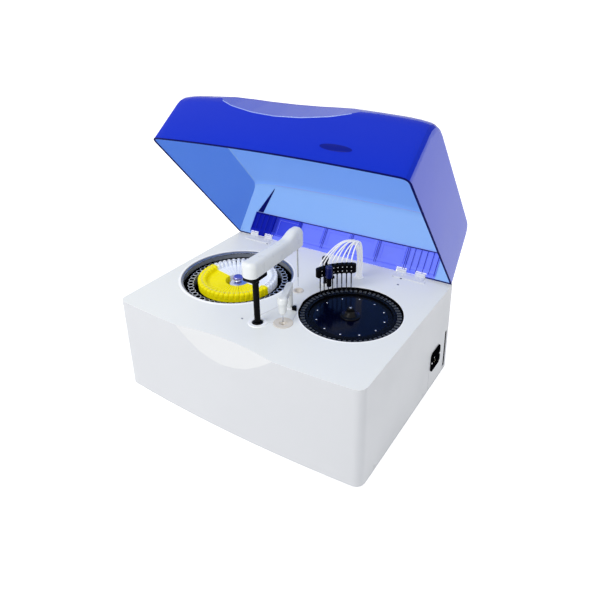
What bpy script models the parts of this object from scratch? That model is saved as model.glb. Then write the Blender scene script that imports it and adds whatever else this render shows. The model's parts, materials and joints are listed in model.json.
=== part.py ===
"""Benchtop chemistry analyzer with its hinged lid open, as an assembly of separate pieces.

Units are metres and +Z is up. The front faces -Y. The deck carries a reagent disc on the left,
a reaction disc on the right, a probe arm, a mixer and a wash station between and behind them.
The last step centres the assembly on the origin and stands it on z = 0.
"""
import math

import bmesh
import bpy
from mathutils import Matrix, Vector

# Driving sizes of the case
case_width = 0.700
case_depth = 0.510
case_height = 0.255
front_bow = 0.015
front_corner_radius = 0.022
wall = 0.003
top_edge_radius = 0.004
foot_height = 0.008
foot_radius = 0.017
foot_inset = 0.055

# Clearances and cutting allowance
fit_gap = 0.0003
running_gap = 0.0005
overrun = 0.004

# Driving sizes of the lid
lid_height = 0.172
lid_crown = 0.022
lid_length = 0.505
lid_inset = 0.001
lid_wall = 0.003
lid_open_angle = math.radians(49.3)
hinge_axis_height = 0.0075
hinge_axis_inset = 0.0005
rim_gap = 0.001

# Driving sizes of the two discs
reagent_centre = (-0.169, 0.010)
reagent_opening_radius = 0.156
reagent_positions = 48
yellow_positions = 25
yellow_end_angle = math.radians(20)
reaction_centre = (0.188, -0.003)
reaction_opening_radius = 0.128
reaction_positions = 60
cuvette_edge_inset = 0.011
cuvette_circle_radius = reaction_opening_radius - cuvette_edge_inset

# Where the columns stand on the deck
probe_place = (0.022, -0.157)
mixer_place = (0.050, -0.059)
mixer_reach = 0.0736
mixer_rest_angle = math.radians(-69.7)
wash_mid_angle = math.radians(138.2)
wash_column_edge_gap = 0.029
wash_column_circle_radius = reaction_opening_radius + wash_column_edge_gap

# Levels that follow from the sizes above
deck_top = foot_height + case_height
deck_under = deck_top - wall

# How finely round shapes are drawn
opening_sides = 40
disc_sides = 30
rotor_sides = 30
small_sides = 20
foot_sides = 16
tiny_sides = 8

PARTS_NAME = "benchtop_chemistry_analyzer"


def clear_scene():
    """Removes every object that the file opened with."""
    for existing in list(bpy.data.objects):
        bpy.data.objects.remove(existing, do_unlink=True)


def make_collection(name):
    """Makes a collection under the scene's own."""
    group = bpy.data.collections.new(name)
    bpy.context.scene.collection.children.link(group)
    return group


clear_scene()
parts = make_collection(PARTS_NAME)
cutters = make_collection("cutters")
stand = bpy.data.objects.new("stand", None)
bpy.context.scene.collection.objects.link(stand)


# Finishes

def finish(name, colour, roughness, metallic=0.0, alpha=1.0):
    """A Principled material with one colour, roughness and metallic value."""
    material = bpy.data.materials.new(name)
    material.use_nodes = True
    shader = material.node_tree.nodes["Principled BSDF"]
    shader.inputs["Base Color"].default_value = (*colour, 1.0)
    shader.inputs["Roughness"].default_value = roughness
    shader.inputs["Metallic"].default_value = metallic
    shader.inputs["Alpha"].default_value = alpha
    return material


WHITE = finish("case_white", (0.80, 0.82, 0.86), 0.35)
ARM_WHITE = finish("arm_white", (0.82, 0.84, 0.86), 0.40)
BLACK = finish("black_plastic", (0.012, 0.012, 0.016), 0.35)
NAVY = finish("navy_plate", (0.006, 0.010, 0.045), 0.25)
RUBBER = finish("foot_rubber", (0.02, 0.02, 0.02), 0.85)
STEEL = finish("steel", (0.62, 0.63, 0.65), 0.28, 1.0)
SHEET = finish("grey_sheet", (0.45, 0.46, 0.49), 0.40, 0.6)
LID_BLUE = finish("lid_blue", (0.03, 0.09, 0.62), 0.12, 0.0, 0.55)
RAIL_BLUE = finish("rail_blue", (0.02, 0.03, 0.50), 0.20)
YELLOW = finish("bottle_yellow", (0.80, 0.74, 0.01), 0.40)
BOTTLE_WHITE = finish("bottle_white", (0.68, 0.72, 0.86), 0.40)
VIOLET = finish("knob_violet", (0.16, 0.18, 0.55), 0.18)
CLEAR = finish("clear_plastic", (0.45, 0.48, 0.52), 0.10)
IVORY = finish("well_ivory", (0.80, 0.75, 0.66), 0.45)
BOARD_GREEN = finish("board_green", (0.02, 0.15, 0.06), 0.50)
TUBE_WHITE = finish("tube_white", (0.86, 0.88, 0.92), 0.30)


# Making objects

def add(name, mesh, material=None, parent=None, smooth=True):
    """Links a mesh as a part, or as a cutter when it has no material."""
    thing = bpy.data.objects.new(name, mesh)
    if material is None:
        cutters.objects.link(thing)
        thing.hide_render = True
        thing.display_type = "WIRE"
    else:
        parts.objects.link(thing)
        mesh.materials.clear()
        mesh.materials.append(material)
        if smooth:
            mesh.shade_smooth()
            mesh.set_sharp_from_angle(angle=math.radians(35))
    thing.parent = parent or stand
    return thing


def mesh_from(name, shape):
    """Turns a bmesh into mesh data and frees it."""
    mesh = bpy.data.meshes.new(name)
    shape.to_mesh(mesh)
    shape.free()
    return mesh


def axis_empty(name, place, parent=None, turn=(0.0, 0.0, 0.0)):
    """An empty on a joint's axis that carries the pieces of one moving body."""
    carrier = bpy.data.objects.new(name, None)
    bpy.context.scene.collection.objects.link(carrier)
    carrier.parent = parent or stand
    carrier.location = place
    carrier.rotation_euler = turn
    return carrier


def box_shape(low, high):
    """A bmesh box between two corners."""
    shape = bmesh.new()
    size = Vector(high) - Vector(low)
    middle = (Vector(high) + Vector(low)) / 2
    bmesh.ops.create_cube(shape, size=1.0, matrix=Matrix.Translation(middle) @ Matrix.Diagonal((*size, 1.0)))
    return shape


def round_edges(shape, radius, steps, wanted):
    """Bevels the edges of a bmesh for which wanted(edge) holds."""
    edges = [edge for edge in shape.edges if wanted(edge)]
    bmesh.ops.bevel(shape, geom=edges, offset=radius, offset_type="OFFSET", segments=steps,
                    profile=0.5, affect="EDGES", material=-1, clamp_overlap=True)


def is_upright(edge):
    """Whether an edge runs along Z."""
    along = edge.verts[1].co - edge.verts[0].co
    return abs(along.z) > 0.99 * along.length


def block(name, low, high, material=None, parent=None, radius=0.0, steps=2, wanted=is_upright):
    """A box between two corners, with the wanted edges rounded."""
    shape = box_shape(low, high)
    if radius:
        round_edges(shape, radius, steps, wanted)
    return add(name, mesh_from(name, shape), material, parent)


def rod_shape(radius, low, high, place=(0.0, 0.0), sides=24, top_radius=None):
    """A bmesh cylinder or cone along Z between two levels."""
    shape = bmesh.new()
    middle = Matrix.Translation((place[0], place[1], (low + high) / 2))
    bmesh.ops.create_cone(shape, cap_ends=True, segments=sides, radius1=radius,
                          radius2=radius if top_radius is None else top_radius,
                          depth=high - low, matrix=middle)
    return shape


def rod(name, radius, low, high, place=(0.0, 0.0), material=None, parent=None, sides=24, top_radius=None):
    """A cylinder or cone along Z between two levels."""
    shape = rod_shape(radius, low, high, place, sides, top_radius)
    return add(name, mesh_from(name, shape), material, parent)


def turned(name, profile, place, material=None, parent=None, steps=48, closed=True):
    """A turned shape: a profile of (radius, height) points, down its outer side, with a Screw modifier."""
    shape = bmesh.new()
    points = [shape.verts.new((radius, 0.0, height)) for radius, height in profile]
    for first, second in zip(points, points[1:]):
        shape.edges.new((first, second))
    if closed:
        shape.edges.new((points[-1], points[0]))
    thing = add(name, mesh_from(name, shape), material, parent)
    thing.location = (place[0], place[1], 0.0)
    screw = thing.modifiers.new("turn", "SCREW")
    screw.axis = "Z"
    screw.angle = math.tau
    screw.steps = steps
    screw.render_steps = steps
    screw.use_merge_vertices = True
    screw.merge_threshold = 0.00001
    screw.use_smooth_shade = material is not None
    return thing


def mesh_of_curve(name, curve):
    """Turns curve data into closed mesh data with its caps welded, and removes the curve."""
    holder = bpy.data.objects.new(name, curve)
    bpy.context.scene.collection.objects.link(holder)
    bpy.context.view_layer.update()
    ready = holder.evaluated_get(bpy.context.evaluated_depsgraph_get())
    mesh = bpy.data.meshes.new_from_object(ready)
    shape = bmesh.new()
    shape.from_mesh(mesh)
    bmesh.ops.remove_doubles(shape, verts=shape.verts, dist=0.000002)
    bmesh.ops.recalc_face_normals(shape, faces=shape.faces)
    shape.to_mesh(mesh)
    shape.free()
    bpy.data.objects.remove(holder, do_unlink=True)
    bpy.data.curves.remove(curve)
    mesh.name = name
    return mesh


def outline_mesh(name, points, low, high):
    """A flat outline in X and Y, filled and extruded from one level to another."""
    curve = bpy.data.curves.new(name, "CURVE")
    curve.dimensions = "2D"
    curve.fill_mode = "BOTH"
    curve.extrude = (high - low) / 2
    spline = curve.splines.new("POLY")
    spline.points.add(len(points) - 1)
    for knot, point in zip(spline.points, points):
        knot.co = (point[0], point[1], 0.0, 1.0)
    spline.use_cyclic_u = True
    mesh = mesh_of_curve(name, curve)
    mesh.transform(Matrix.Translation((0.0, 0.0, (low + high) / 2)))
    return mesh


def outline(name, points, low, high, material=None, parent=None):
    """A solid with a flat outline and upright sides."""
    return add(name, outline_mesh(name, points, low, high), material, parent)


def side_outline(name, points, low, high, material=None, parent=None):
    """A solid whose outline is drawn in Y and Z and which runs along X from low to high."""
    mesh = outline_mesh(name, points, low, high)
    turn = Matrix(((0.0, 0.0, 1.0), (1.0, 0.0, 0.0), (0.0, 1.0, 0.0))).to_4x4()
    mesh.transform(turn)
    return add(name, mesh, material, parent)


def tube_mesh(name, route, radius, steps=2):
    """A round tube with filled caps along a list of points."""
    curve = bpy.data.curves.new(name, "CURVE")
    curve.dimensions = "3D"
    curve.bevel_depth = radius
    curve.bevel_resolution = steps
    curve.use_fill_caps = True
    spline = curve.splines.new("POLY")
    spline.points.add(len(route) - 1)
    for knot, point in zip(spline.points, route):
        knot.co = (*point, 1.0)
    return mesh_of_curve(name, curve)


def group_cutter(name, meshes, parent=None):
    """Several separate solids as one hidden shape."""
    shape = bmesh.new()
    for mesh in meshes:
        shape.from_mesh(mesh)
        bpy.data.meshes.remove(mesh)
    return add(name, mesh_from(name, shape), None, parent)


def moved(mesh, matrix):
    """A copy of mesh data, moved by a matrix."""
    copy = mesh.copy()
    copy.transform(matrix)
    return copy


def around(place, angle):
    """A turn about the upright line through a place, for a shape modelled at angle zero."""
    return Matrix.Translation((place[0], place[1], 0.0)) @ Matrix.Rotation(angle, 4, "Z")


def boolean(thing, other, operation="DIFFERENCE"):
    """Adds an exact Boolean modifier."""
    step = thing.modifiers.new(operation.lower(), "BOOLEAN")
    step.operation = operation
    step.solver = "EXACT"
    step.object = other


def cut(thing, *others):
    """Cuts one or more cutters out of an object."""
    for other in others:
        boolean(thing, other)


def join(thing, *others):
    """Fuses one or more hidden shapes to an object."""
    for other in others:
        boolean(thing, other, "UNION")


# Plane geometry

def on_circle(centre, radius, angle):
    """The point of a circle at an angle."""
    return (centre[0] + radius * math.cos(angle), centre[1] + radius * math.sin(angle))


def distance(first, second):
    """The distance between two places in plan."""
    return math.hypot(second[0] - first[0], second[1] - first[1])


def heading(first, second):
    """The direction in plan from one place to another."""
    return math.atan2(second[1] - first[1], second[0] - first[0])


def arc(centre, radius, start, end, steps):
    """Points along an arc, both ends included."""
    return [on_circle(centre, radius, start + (end - start) * step / steps) for step in range(steps + 1)]


def corner(before, point, after, radius, steps):
    """The points that round one corner of an outline."""
    here = Vector(point)
    back = (Vector(before) - here).normalized()
    ahead = (Vector(after) - here).normalized()
    half = back.angle(ahead) / 2
    centre = here + (back + ahead).normalized() * (radius / math.sin(half))
    reach = radius / math.tan(half)
    start = here + back * reach - centre
    end = here + ahead * reach - centre
    sweep = start.angle_signed(end)
    first = math.atan2(start.y, start.x)
    return [on_circle(centre, radius, first - sweep * step / steps) for step in range(steps + 1)]


def rounded(corners):
    """An outline from (point, radius, steps) corners, where radius zero keeps the corner sharp."""
    points = []
    for index, (point, radius, steps) in enumerate(corners):
        if radius:
            before = corners[index - 1][0]
            after = corners[(index + 1) % len(corners)][0]
            points.extend(corner(before, point, after, radius, steps))
        else:
            points.append(tuple(point))
    return points


# The case

def bowed(inset, rear, corner_steps=3, front_steps=10):
    """The case's plan outline, drawn in by an inset: bowed front, rounded front corners."""
    half = case_width / 2 - inset
    radius = front_corner_radius - inset
    lean = math.atan(2 * front_bow / half)
    side = half - radius * (1 - math.sin(lean))
    front = -case_depth / 2 + inset

    def front_y(across):
        return front - front_bow * (1 - (across / (case_width / 2)) ** 2)

    slope = math.atan(2 * front_bow * side / (case_width / 2) ** 2)
    centre_x = side - radius * math.sin(slope)
    centre_y = front_y(side) + radius * math.cos(slope)
    right = arc((centre_x, centre_y), radius, slope - math.pi / 2, 0.0, corner_steps)
    left = [(-x, y) for x, y in reversed(right)]
    across = [side * (2 * step / front_steps - 1) for step in range(1, front_steps)]
    edge = max(x for x, _ in right)
    return left + [(x, front_y(x)) for x in across] + right + [(edge, rear), (-edge, rear)]


scoop_half_width = 0.150
scoop_face_drop = 0.060
scoop_deck_depth = 0.018
rear_panel_inset = 0.003
rear_panel_thickness = 0.002


def scoop(name, foot, top, half_width, depth, growth=0.0, length=0.3, centre=0.0, parent=None):
    """A large round cutter whose side makes a shallow scoop across an edge.

    foot and top are the (y, z) ends of the scoop's middle line, which lies at centre across;
    depth is how far the middle lies behind the edge at half_width to either side.
    """
    radius = (half_width ** 2 + depth ** 2) / (2 * depth)
    middle = (Vector(foot) + Vector(top)) / 2
    along = (Vector(top) - Vector(foot)).normalized()
    outward = Vector((-along.y, along.x))
    shape = bmesh.new()
    bmesh.ops.create_cone(shape, cap_ends=True, segments=120, radius1=radius + growth,
                          radius2=radius + growth, depth=length)
    tilt = Matrix.Rotation(math.atan2(-along.x, along.y), 4, "X")
    axis = middle + outward * radius
    shape.transform(Matrix.Translation((centre, axis.x, axis.y)) @ tilt)
    return add(name, mesh_from(name, shape), None, parent)


def make_case():
    """The one-piece cover: front, sides and deck, open below and behind."""
    cover = outline("main_cover", bowed(0.0, case_depth / 2), foot_height, deck_top, WHITE)
    soften_top(cover.data, deck_top)
    front = -case_depth / 2 - front_bow
    foot = (front, deck_top - scoop_face_drop)
    top = (front + scoop_deck_depth, deck_top)
    depth = scoop_face_drop * math.sin(math.atan2(scoop_deck_depth, scoop_face_drop))
    cut(cover, scoop("front_scoop", foot, top, scoop_half_width, depth))
    hollow = outline("case_hollow", bowed(wall, case_depth / 2 + overrun), foot_height - overrun, deck_under)
    cut(hollow, scoop("front_scoop_inner", foot, top, scoop_half_width, depth, growth=wall))
    cut(cover, hollow)
    for name, radius, place, sides in deck_holes():
        cut(cover, rod(name, radius, deck_under - overrun, deck_top + overrun, place, sides=sides))
    cut(cover, side_window("inlet_window", inlet_centre, inlet_body_size, running_gap))
    cut(cover, side_window("vent_window", vent_centre, vent_size, running_gap))
    join(cover, group_cutter("case_screws", case_screw_meshes()))
    return cover


case_screw_height = 0.012
case_screw_places_y = (-0.190, 0.092)
deck_screw_place = (0.229, 0.162)
screw_head_radius = 0.0035
screw_head_height = 0.0015


def screw_head(radius, seat, place):
    """A low tapered screw head on a level, sunk a little into what it holds."""
    return rod_shape(radius, seat - fit_gap, seat + screw_head_height, place, tiny_sides, radius * 0.65)


def case_screw_meshes():
    """The screw heads low on both side walls, and the one on the deck."""
    meshes = []
    for side in (-1, 1):
        for y in case_screw_places_y:
            shape = screw_head(screw_head_radius, 0.0, (0.0, 0.0))
            shape.transform(Matrix.Translation((side * case_width / 2, y, foot_height + case_screw_height))
                            @ Matrix.Rotation(side * math.pi / 2, 4, "Y"))
            meshes.append(mesh_from("case_screw", shape))
    meshes.append(mesh_from("deck_screw", screw_head(screw_head_radius * 0.7, deck_top, deck_screw_place)))
    return meshes


def soften_top(mesh, level):
    """Rounds the edges round the top face of an outline solid."""
    shape = bmesh.new()
    shape.from_mesh(mesh)
    near = fit_gap / 10
    round_edges(shape, top_edge_radius, 2,
                lambda edge: all(abs(vert.co.z - level) < near for vert in edge.verts)
                and len(edge.link_faces) == 2 and edge.calc_face_angle() > math.radians(45))
    shape.to_mesh(mesh)
    shape.free()


# Deck hardware that passes through the deck
guide_radius = 0.0105
guide_flange_radius = 0.0135
guide_flange_thickness = 0.003
guide_depth = 0.030
column_radius = 0.0075
wash_column_radius = 0.0058
well_radius = 0.0145
mixer_well_radius = 0.024
well_body_radius = 0.0115
well_bore_radius = 0.0045
well_depth = 0.045
well_rim_height = 0.0015
gland_radius = 0.011
gland_flange_radius = 0.014
gland_place = (0.122, 0.170)


def deck_holes():
    """Name, radius, place and sides of each round hole in the deck."""
    return [
        ("reagent_hole", reagent_opening_radius, reagent_centre, opening_sides),
        ("reaction_hole", reaction_opening_radius, reaction_centre, opening_sides),
        ("probe_hole", guide_radius + running_gap, probe_place, small_sides),
        ("mixer_hole", guide_radius + running_gap, mixer_place, small_sides),
        ("wash_hole", guide_radius + running_gap, wash_place(), small_sides),
        ("probe_well_hole", well_body_radius + running_gap, probe_well_place(), small_sides),
        ("mixer_well_hole", well_body_radius + running_gap, mixer_well_place(), small_sides),
        ("gland_hole", gland_radius + running_gap, gland_place, small_sides),
    ]


# The inlet on the right wall, and the vent behind it
inlet_rear_inset = 0.092
inlet_height = 0.091
inlet_centre = (case_depth / 2 - inlet_rear_inset, inlet_height)
inlet_body_size = (0.056, 0.048)
inlet_flange_size = (0.064, 0.056)
inlet_flange_thickness = 0.0025
inlet_body_depth = 0.030
inlet_corner = 0.008
socket_size = (0.027, 0.019)
socket_depth = 0.016
socket_drop = 0.012
socket_pin_size = (0.002, 0.004)
socket_pin_spacing = 0.007
socket_pin_length = 0.011
rocker_window = (0.021, 0.013)
rocker_window_depth = 0.014
rocker_rise = 0.0125
rocker_side = 0.0125
rocker_proud = 0.0028
rocker_tilt = math.radians(8)
drawer_proud = 0.0012
drawer_depth = 0.012
vent_rear_inset = 0.017
vent_height = 0.075
vent_centre = (case_depth / 2 - vent_rear_inset, vent_height)
vent_size = (0.012, 0.112)
vent_thickness = 0.004
vent_slat_count = 12
vent_slat_share = 0.5


def side_window(name, centre, size, gap):
    """A cutter through the right wall."""
    y, z = centre
    half_y, half_z = size[0] / 2 + gap, size[1] / 2 + gap
    inner = case_width / 2 - wall - overrun
    return block(name, (inner, y - half_y, z - half_z), (case_width / 2 + overrun, y + half_y, z + half_z))


def make_inlet():
    """Mains inlet module: flange, body, socket with pins, switch window and fuse drawer."""
    face = case_width / 2 + fit_gap
    y, z = inlet_centre
    half_y, half_z = inlet_flange_size[0] / 2, inlet_flange_size[1] / 2
    corners = [((y + sy * half_y, z + sz * half_z), inlet_corner, 1)
               for sy, sz in ((-1, -1), (1, -1), (1, 1), (-1, 1))]
    module = side_outline("inlet_module", rounded(corners), face, face + inlet_flange_thickness, BLACK)
    half_y, half_z = inlet_body_size[0] / 2, inlet_body_size[1] / 2
    body = block("inlet_body", (face - inlet_body_depth, y - half_y, z - half_z),
                 (face + inlet_flange_thickness / 2, y + half_y, z + half_z))
    join(module, body)
    front = face + inlet_flange_thickness
    pin_z = z - socket_drop
    half_y, half_z = socket_size[0] / 2, socket_size[1] / 2
    socket = block("socket_recess", (front - socket_depth, y - half_y, pin_z - half_z),
                   (front + overrun, y + half_y, pin_z + half_z))
    cut(module, socket)
    for index in (-1, 0, 1):
        pin_y = y + index * socket_pin_spacing
        root = front - socket_depth
        join(module, block("socket_pin", (root - inlet_flange_thickness, pin_y - socket_pin_size[0] / 2,
                                          pin_z - socket_pin_size[1] / 2),
                           (root + socket_pin_length, pin_y + socket_pin_size[0] / 2,
                            pin_z + socket_pin_size[1] / 2)))
    for side in (-1, 1):
        near, far = pocket_corner(front, side, -1, 0.0), pocket_corner(front, side, 1, 0.0)
        cut(module, block("inlet_pocket", near, far))
    make_rocker(front)
    make_fuse_drawer(front)


def pocket_corner(front, side, end, gap):
    """One corner of the switch pocket (side -1) or the fuse pocket (side 1)."""
    y = inlet_centre[0] + side * rocker_side
    z = inlet_centre[1] + rocker_rise
    x = front - rocker_window_depth + gap if end < 0 else front + overrun
    return (x, y + end * (rocker_window[0] / 2 - gap), z + end * (rocker_window[1] / 2 - gap))


def make_rocker(front):
    """The power switch's rocker, which tips about an upright axis at the flange's face."""
    y = inlet_centre[0] - rocker_side
    z = inlet_centre[1] + rocker_rise
    carrier = axis_empty("power_rocker_axis", (front - inlet_flange_thickness, y, z))
    half = rocker_window[0] / 2 - running_gap * 3
    high = rocker_window[1] / 2 - running_gap
    rise = half * math.tan(rocker_tilt)
    low_side = inlet_flange_thickness + rocker_proud - 2 * rise
    points = [(-rocker_window[1] / 2, -half * 0.5), (-rocker_window[1] / 2, half * 0.5),
              (low_side, half), (inlet_flange_thickness, 0.0),
              (inlet_flange_thickness + rocker_proud, -half)]
    outline("power_rocker", points, -high, high, BLACK, carrier)


def make_fuse_drawer(front):
    """The fuse drawer in its pocket beside the switch."""
    y = inlet_centre[0] + rocker_side
    z = inlet_centre[1] + rocker_rise
    half_y = rocker_window[0] / 2 - running_gap
    half_z = rocker_window[1] / 2 - running_gap
    drawer = block("fuse_drawer", (front - drawer_depth, y - half_y, z - half_z),
                   (front + drawer_proud, y + half_y, z + half_z), BLACK)
    notch = rocker_window[1] / 6
    cut(drawer, block("drawer_notch", (front, y - half_y / 2, z + half_z - notch),
                      (front + overrun, y + half_y / 2, z + half_z + overrun)))


def make_vent():
    """A black louvred insert in the upright slot of the right wall."""
    y, z = vent_centre
    outer = case_width / 2
    half_y, half_z = vent_size[0] / 2 - fit_gap, vent_size[1] / 2 - fit_gap
    insert = block("side_vent", (outer - wall - vent_thickness / 2, y - half_y, z - half_z),
                   (outer - wall / 3, y + half_y, z + half_z), BLACK)
    pitch = 2 * half_z / vent_slat_count
    for index in range(vent_slat_count):
        low = z - half_z + pitch * (index + (1 - vent_slat_share) / 2)
        cut(insert, block("vent_slit", (outer - wall - overrun, y - half_y + wall / 2, low),
                          (outer + overrun, y + half_y - wall / 2, low + pitch * vent_slat_share)))


# Floor pan, feet and rear panel
pan_thickness = 0.0015
pan_flange_height = 0.009


def pan_top():
    """The level of the pan's floor."""
    return foot_height + pan_thickness


def make_pan():
    """The floor pan inside the cover, with a low flange all round."""
    rear = case_depth / 2 - rear_panel_inset - rear_panel_thickness - fit_gap
    rim = foot_height + pan_flange_height
    pan = outline("base_pan", bowed(wall + fit_gap, rear), foot_height, rim, SHEET)
    cut(pan, outline("pan_hollow", bowed(wall + fit_gap + pan_thickness, rear - pan_thickness),
                     pan_top(), rim + overrun))


def make_feet():
    """Four tapered rubber feet under the pan."""
    across = case_width / 2 - foot_inset
    along = case_depth / 2 - foot_inset
    top = foot_height - fit_gap
    bead = foot_radius / 8
    for name, x, y in (("front_left", -across, -along), ("front_right", across, -along),
                       ("rear_left", -across, along), ("rear_right", across, along)):
        profile = [(0.0, top), (foot_radius, top), (foot_radius - bead / 2, bead),
                   (foot_radius - bead, 0.0), (0.0, 0.0)]
        turned("foot_" + name, profile, (x, y), RUBBER, steps=foot_sides, closed=False)


fan_radius = 0.038
fan_place = (-0.180, 0.120)
fan_size = 0.080
fan_depth = 0.025
fan_hub_radius = 0.014
fan_blades = 7
fitting_radius = 0.006
fitting_spacing = 0.030
fitting_first_x = 0.060
fitting_height = 0.060
fitting_length = 0.018
fitting_plate_thickness = 0.004
rear_slot_count = 8
rear_slot_size = (0.060, 0.004)
rear_slot_pitch = 0.010
rear_slot_place = (0.180, 0.120)


def rear_y():
    """The rear panel's outer face."""
    return case_depth / 2 - rear_panel_inset


def make_rear_panel():
    """The steel rear panel with its fan window, slots and holes for the fittings."""
    inner = rear_y() - rear_panel_thickness
    half = case_width / 2 - wall - fit_gap
    panel = block("rear_panel", (-half, inner, foot_height), (half, rear_y(), deck_under - fit_gap), SHEET)
    cut(panel, lying_rod("fan_window", fan_radius, inner - overrun, rear_y() + overrun, fan_place, 24))
    for index in range(rear_slot_count):
        z = rear_slot_place[1] + (index - (rear_slot_count - 1) / 2) * rear_slot_pitch
        left = rear_slot_place[0] - rear_slot_size[0] / 2
        cut(panel, block("rear_slot", (left, inner - overrun, z),
                         (left + rear_slot_size[0], rear_y() + overrun, z + rear_slot_size[1])))
    for place in fitting_places():
        hole_radius = fitting_radius + running_gap
        cut(panel, lying_rod("fitting_hole", hole_radius, inner - overrun, rear_y() + overrun, place, 12))


def lying_rod(name, radius, low, high, place, sides=24, material=None, parent=None):
    """A cylinder along Y, centred on an (x, z) place."""
    shape = rod_shape(radius, low, high, (0.0, 0.0), sides)
    turn = Matrix(((1.0, 0.0, 0.0), (0.0, 0.0, 1.0), (0.0, -1.0, 0.0))).to_4x4()
    shape.transform(Matrix.Translation((place[0], 0.0, place[1])) @ turn)
    return add(name, mesh_from(name, shape), material, parent)


def fitting_places():
    """The (x, z) places of the fluid fittings on the rear panel."""
    return [(fitting_first_x + index * fitting_spacing, fitting_height) for index in range(3)]


def make_rear_fittings():
    """Three hose barbs for water, cleaner and waste on one plate."""
    inner = rear_y() - rear_panel_thickness
    places = fitting_places()
    edge = fitting_radius * 1.5
    block_low = (places[0][0] - edge, inner - fit_gap - fitting_plate_thickness, fitting_height - edge)
    block_high = (places[-1][0] + edge, inner - fit_gap, fitting_height + edge)
    fittings = block("fluid_fittings", block_low, block_high, STEEL)
    root = inner - fitting_plate_thickness
    face, tip = rear_y(), rear_y() + fitting_length
    for place in places:
        barb = lying_rod("barb", fitting_radius, root, face + fitting_length / 4, place, 12)
        nose = lying_rod("barb_nose", fitting_radius * 0.6, face, tip, place, tiny_sides)
        bore = lying_rod("barb_bore", fitting_radius * 0.35, face, tip + overrun, place, tiny_sides)
        join(fittings, barb, nose)
        cut(fittings, bore)


def make_fan():
    """The cooling fan: a square frame behind the panel's window, and its rotor."""
    x, z = fan_place
    front = rear_y() - rear_panel_thickness - fit_gap
    back = front - fan_depth
    half = fan_size / 2
    frame = block("fan_frame", (x - half, back, z - half), (x + half, front, z + half), BLACK)
    cut(frame, lying_rod("fan_bore", fan_radius, back - overrun, front + overrun, fan_place, 24))
    spider = fan_depth / 6
    hub = lying_rod("fan_motor", fan_hub_radius, back, back + spider, fan_place, 24)
    bar = block("fan_spider", (x - fan_radius - wall, back, z - wall / 2),
                (x + fan_radius + wall, back + spider, z + wall / 2))
    join(frame, hub, bar)
    carrier = axis_empty("fan_axis", (x, 0.0, z))
    rotor = lying_rod("fan_rotor", fan_hub_radius, back + spider + running_gap, front - running_gap * 2,
                      (0.0, 0.0), 24, BLACK, carrier)
    reach = fan_radius - running_gap * 3
    for index in range(fan_blades):
        blade = box_shape((-wall / 3, -fan_depth / 4, fan_hub_radius / 2), (wall / 3, fan_depth / 4, reach))
        blade.transform(Matrix.Rotation(index * math.tau / fan_blades, 4, "Y")
                        @ Matrix.Rotation(math.radians(35), 4, "Z"))
        blade.transform(Matrix.Translation((0.0, (back + spider + front) / 2, 0.0)))
        join(rotor, add("fan_blade", mesh_from("fan_blade", blade), None, carrier))


# Reagent disc
chamber_wall = 0.0012
chamber_depth = 0.082
chamber_flange_width = 0.008
chamber_flange_thickness = 0.002
chamber_floor = 0.003
rim_step = 0.001
shaft_radius = 0.004
shaft_hole_radius = 0.008
motor_size = 0.042
motor_height = 0.040
motor_bore_depth = 0.012
rotor_rim_drop = 0.018
rotor_floor_drop = 0.070
rotor_floor_thickness = 0.003
rotor_divider_drop = 0.021
trough_floor_drop = 0.050
rotor_edge_gap = 0.0070
rotor_rim_radius = reagent_opening_radius - rotor_edge_gap
rotor_rim_wall = 0.0020
divider_wall = 0.0020
trough_width = 0.0330
divider_radius = rotor_rim_radius - rotor_rim_wall - trough_width - divider_wall
hub_post_radius = 0.020
hub_seat_drop = 0.028
cup_radius = 0.0078
cup_top_drop = 0.016
carrier_thickness = 0.0012
bottle_inner_radius = 0.034
bottle_divider_gap = 0.0020
bottle_outer_radius = divider_radius - bottle_divider_gap
bottle_top_drop = 0.014
collar_top_drop = 0.001
collar_length = 0.0225
bottle_gap = 0.0009
mouth_radius = 0.0045
mouth_depth = 0.034
tray_end_share = 0.4


def bowl(name, centre, opening, depth, material):
    """A turned bowl hung below the deck, with its rim in the deck's opening and a hole for the shaft."""
    outer = opening - running_gap * 2
    inner = outer - chamber_wall
    top = deck_top - rim_step
    flange = deck_under - fit_gap
    floor = deck_top - depth
    profile = [(outer, top), (outer, flange), (outer + chamber_flange_width, flange),
               (outer + chamber_flange_width, flange - chamber_flange_thickness),
               (outer, flange - chamber_flange_thickness), (outer, floor - chamber_floor),
               (shaft_hole_radius, floor - chamber_floor), (shaft_hole_radius, floor),
               (inner, floor), (inner, top)]
    return turned(name, profile, centre, material, steps=disc_sides)


def motor_top(depth):
    """The level of a disc motor's top, under a bowl of this depth."""
    return deck_top - depth - chamber_floor - fit_gap


def make_motor(name, centre, top):
    """A square stepper motor with a bore for its shaft, under a bowl's floor."""
    x, y = centre
    half = motor_size / 2
    body = block(name, (x - half, y - half, top - motor_height), (x + half, y + half, top), SHEET,
                 radius=motor_size / 10, steps=1)
    cut(body, rod(name + "_bore", shaft_radius + running_gap, top - motor_bore_depth, top + overrun, centre))


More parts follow.
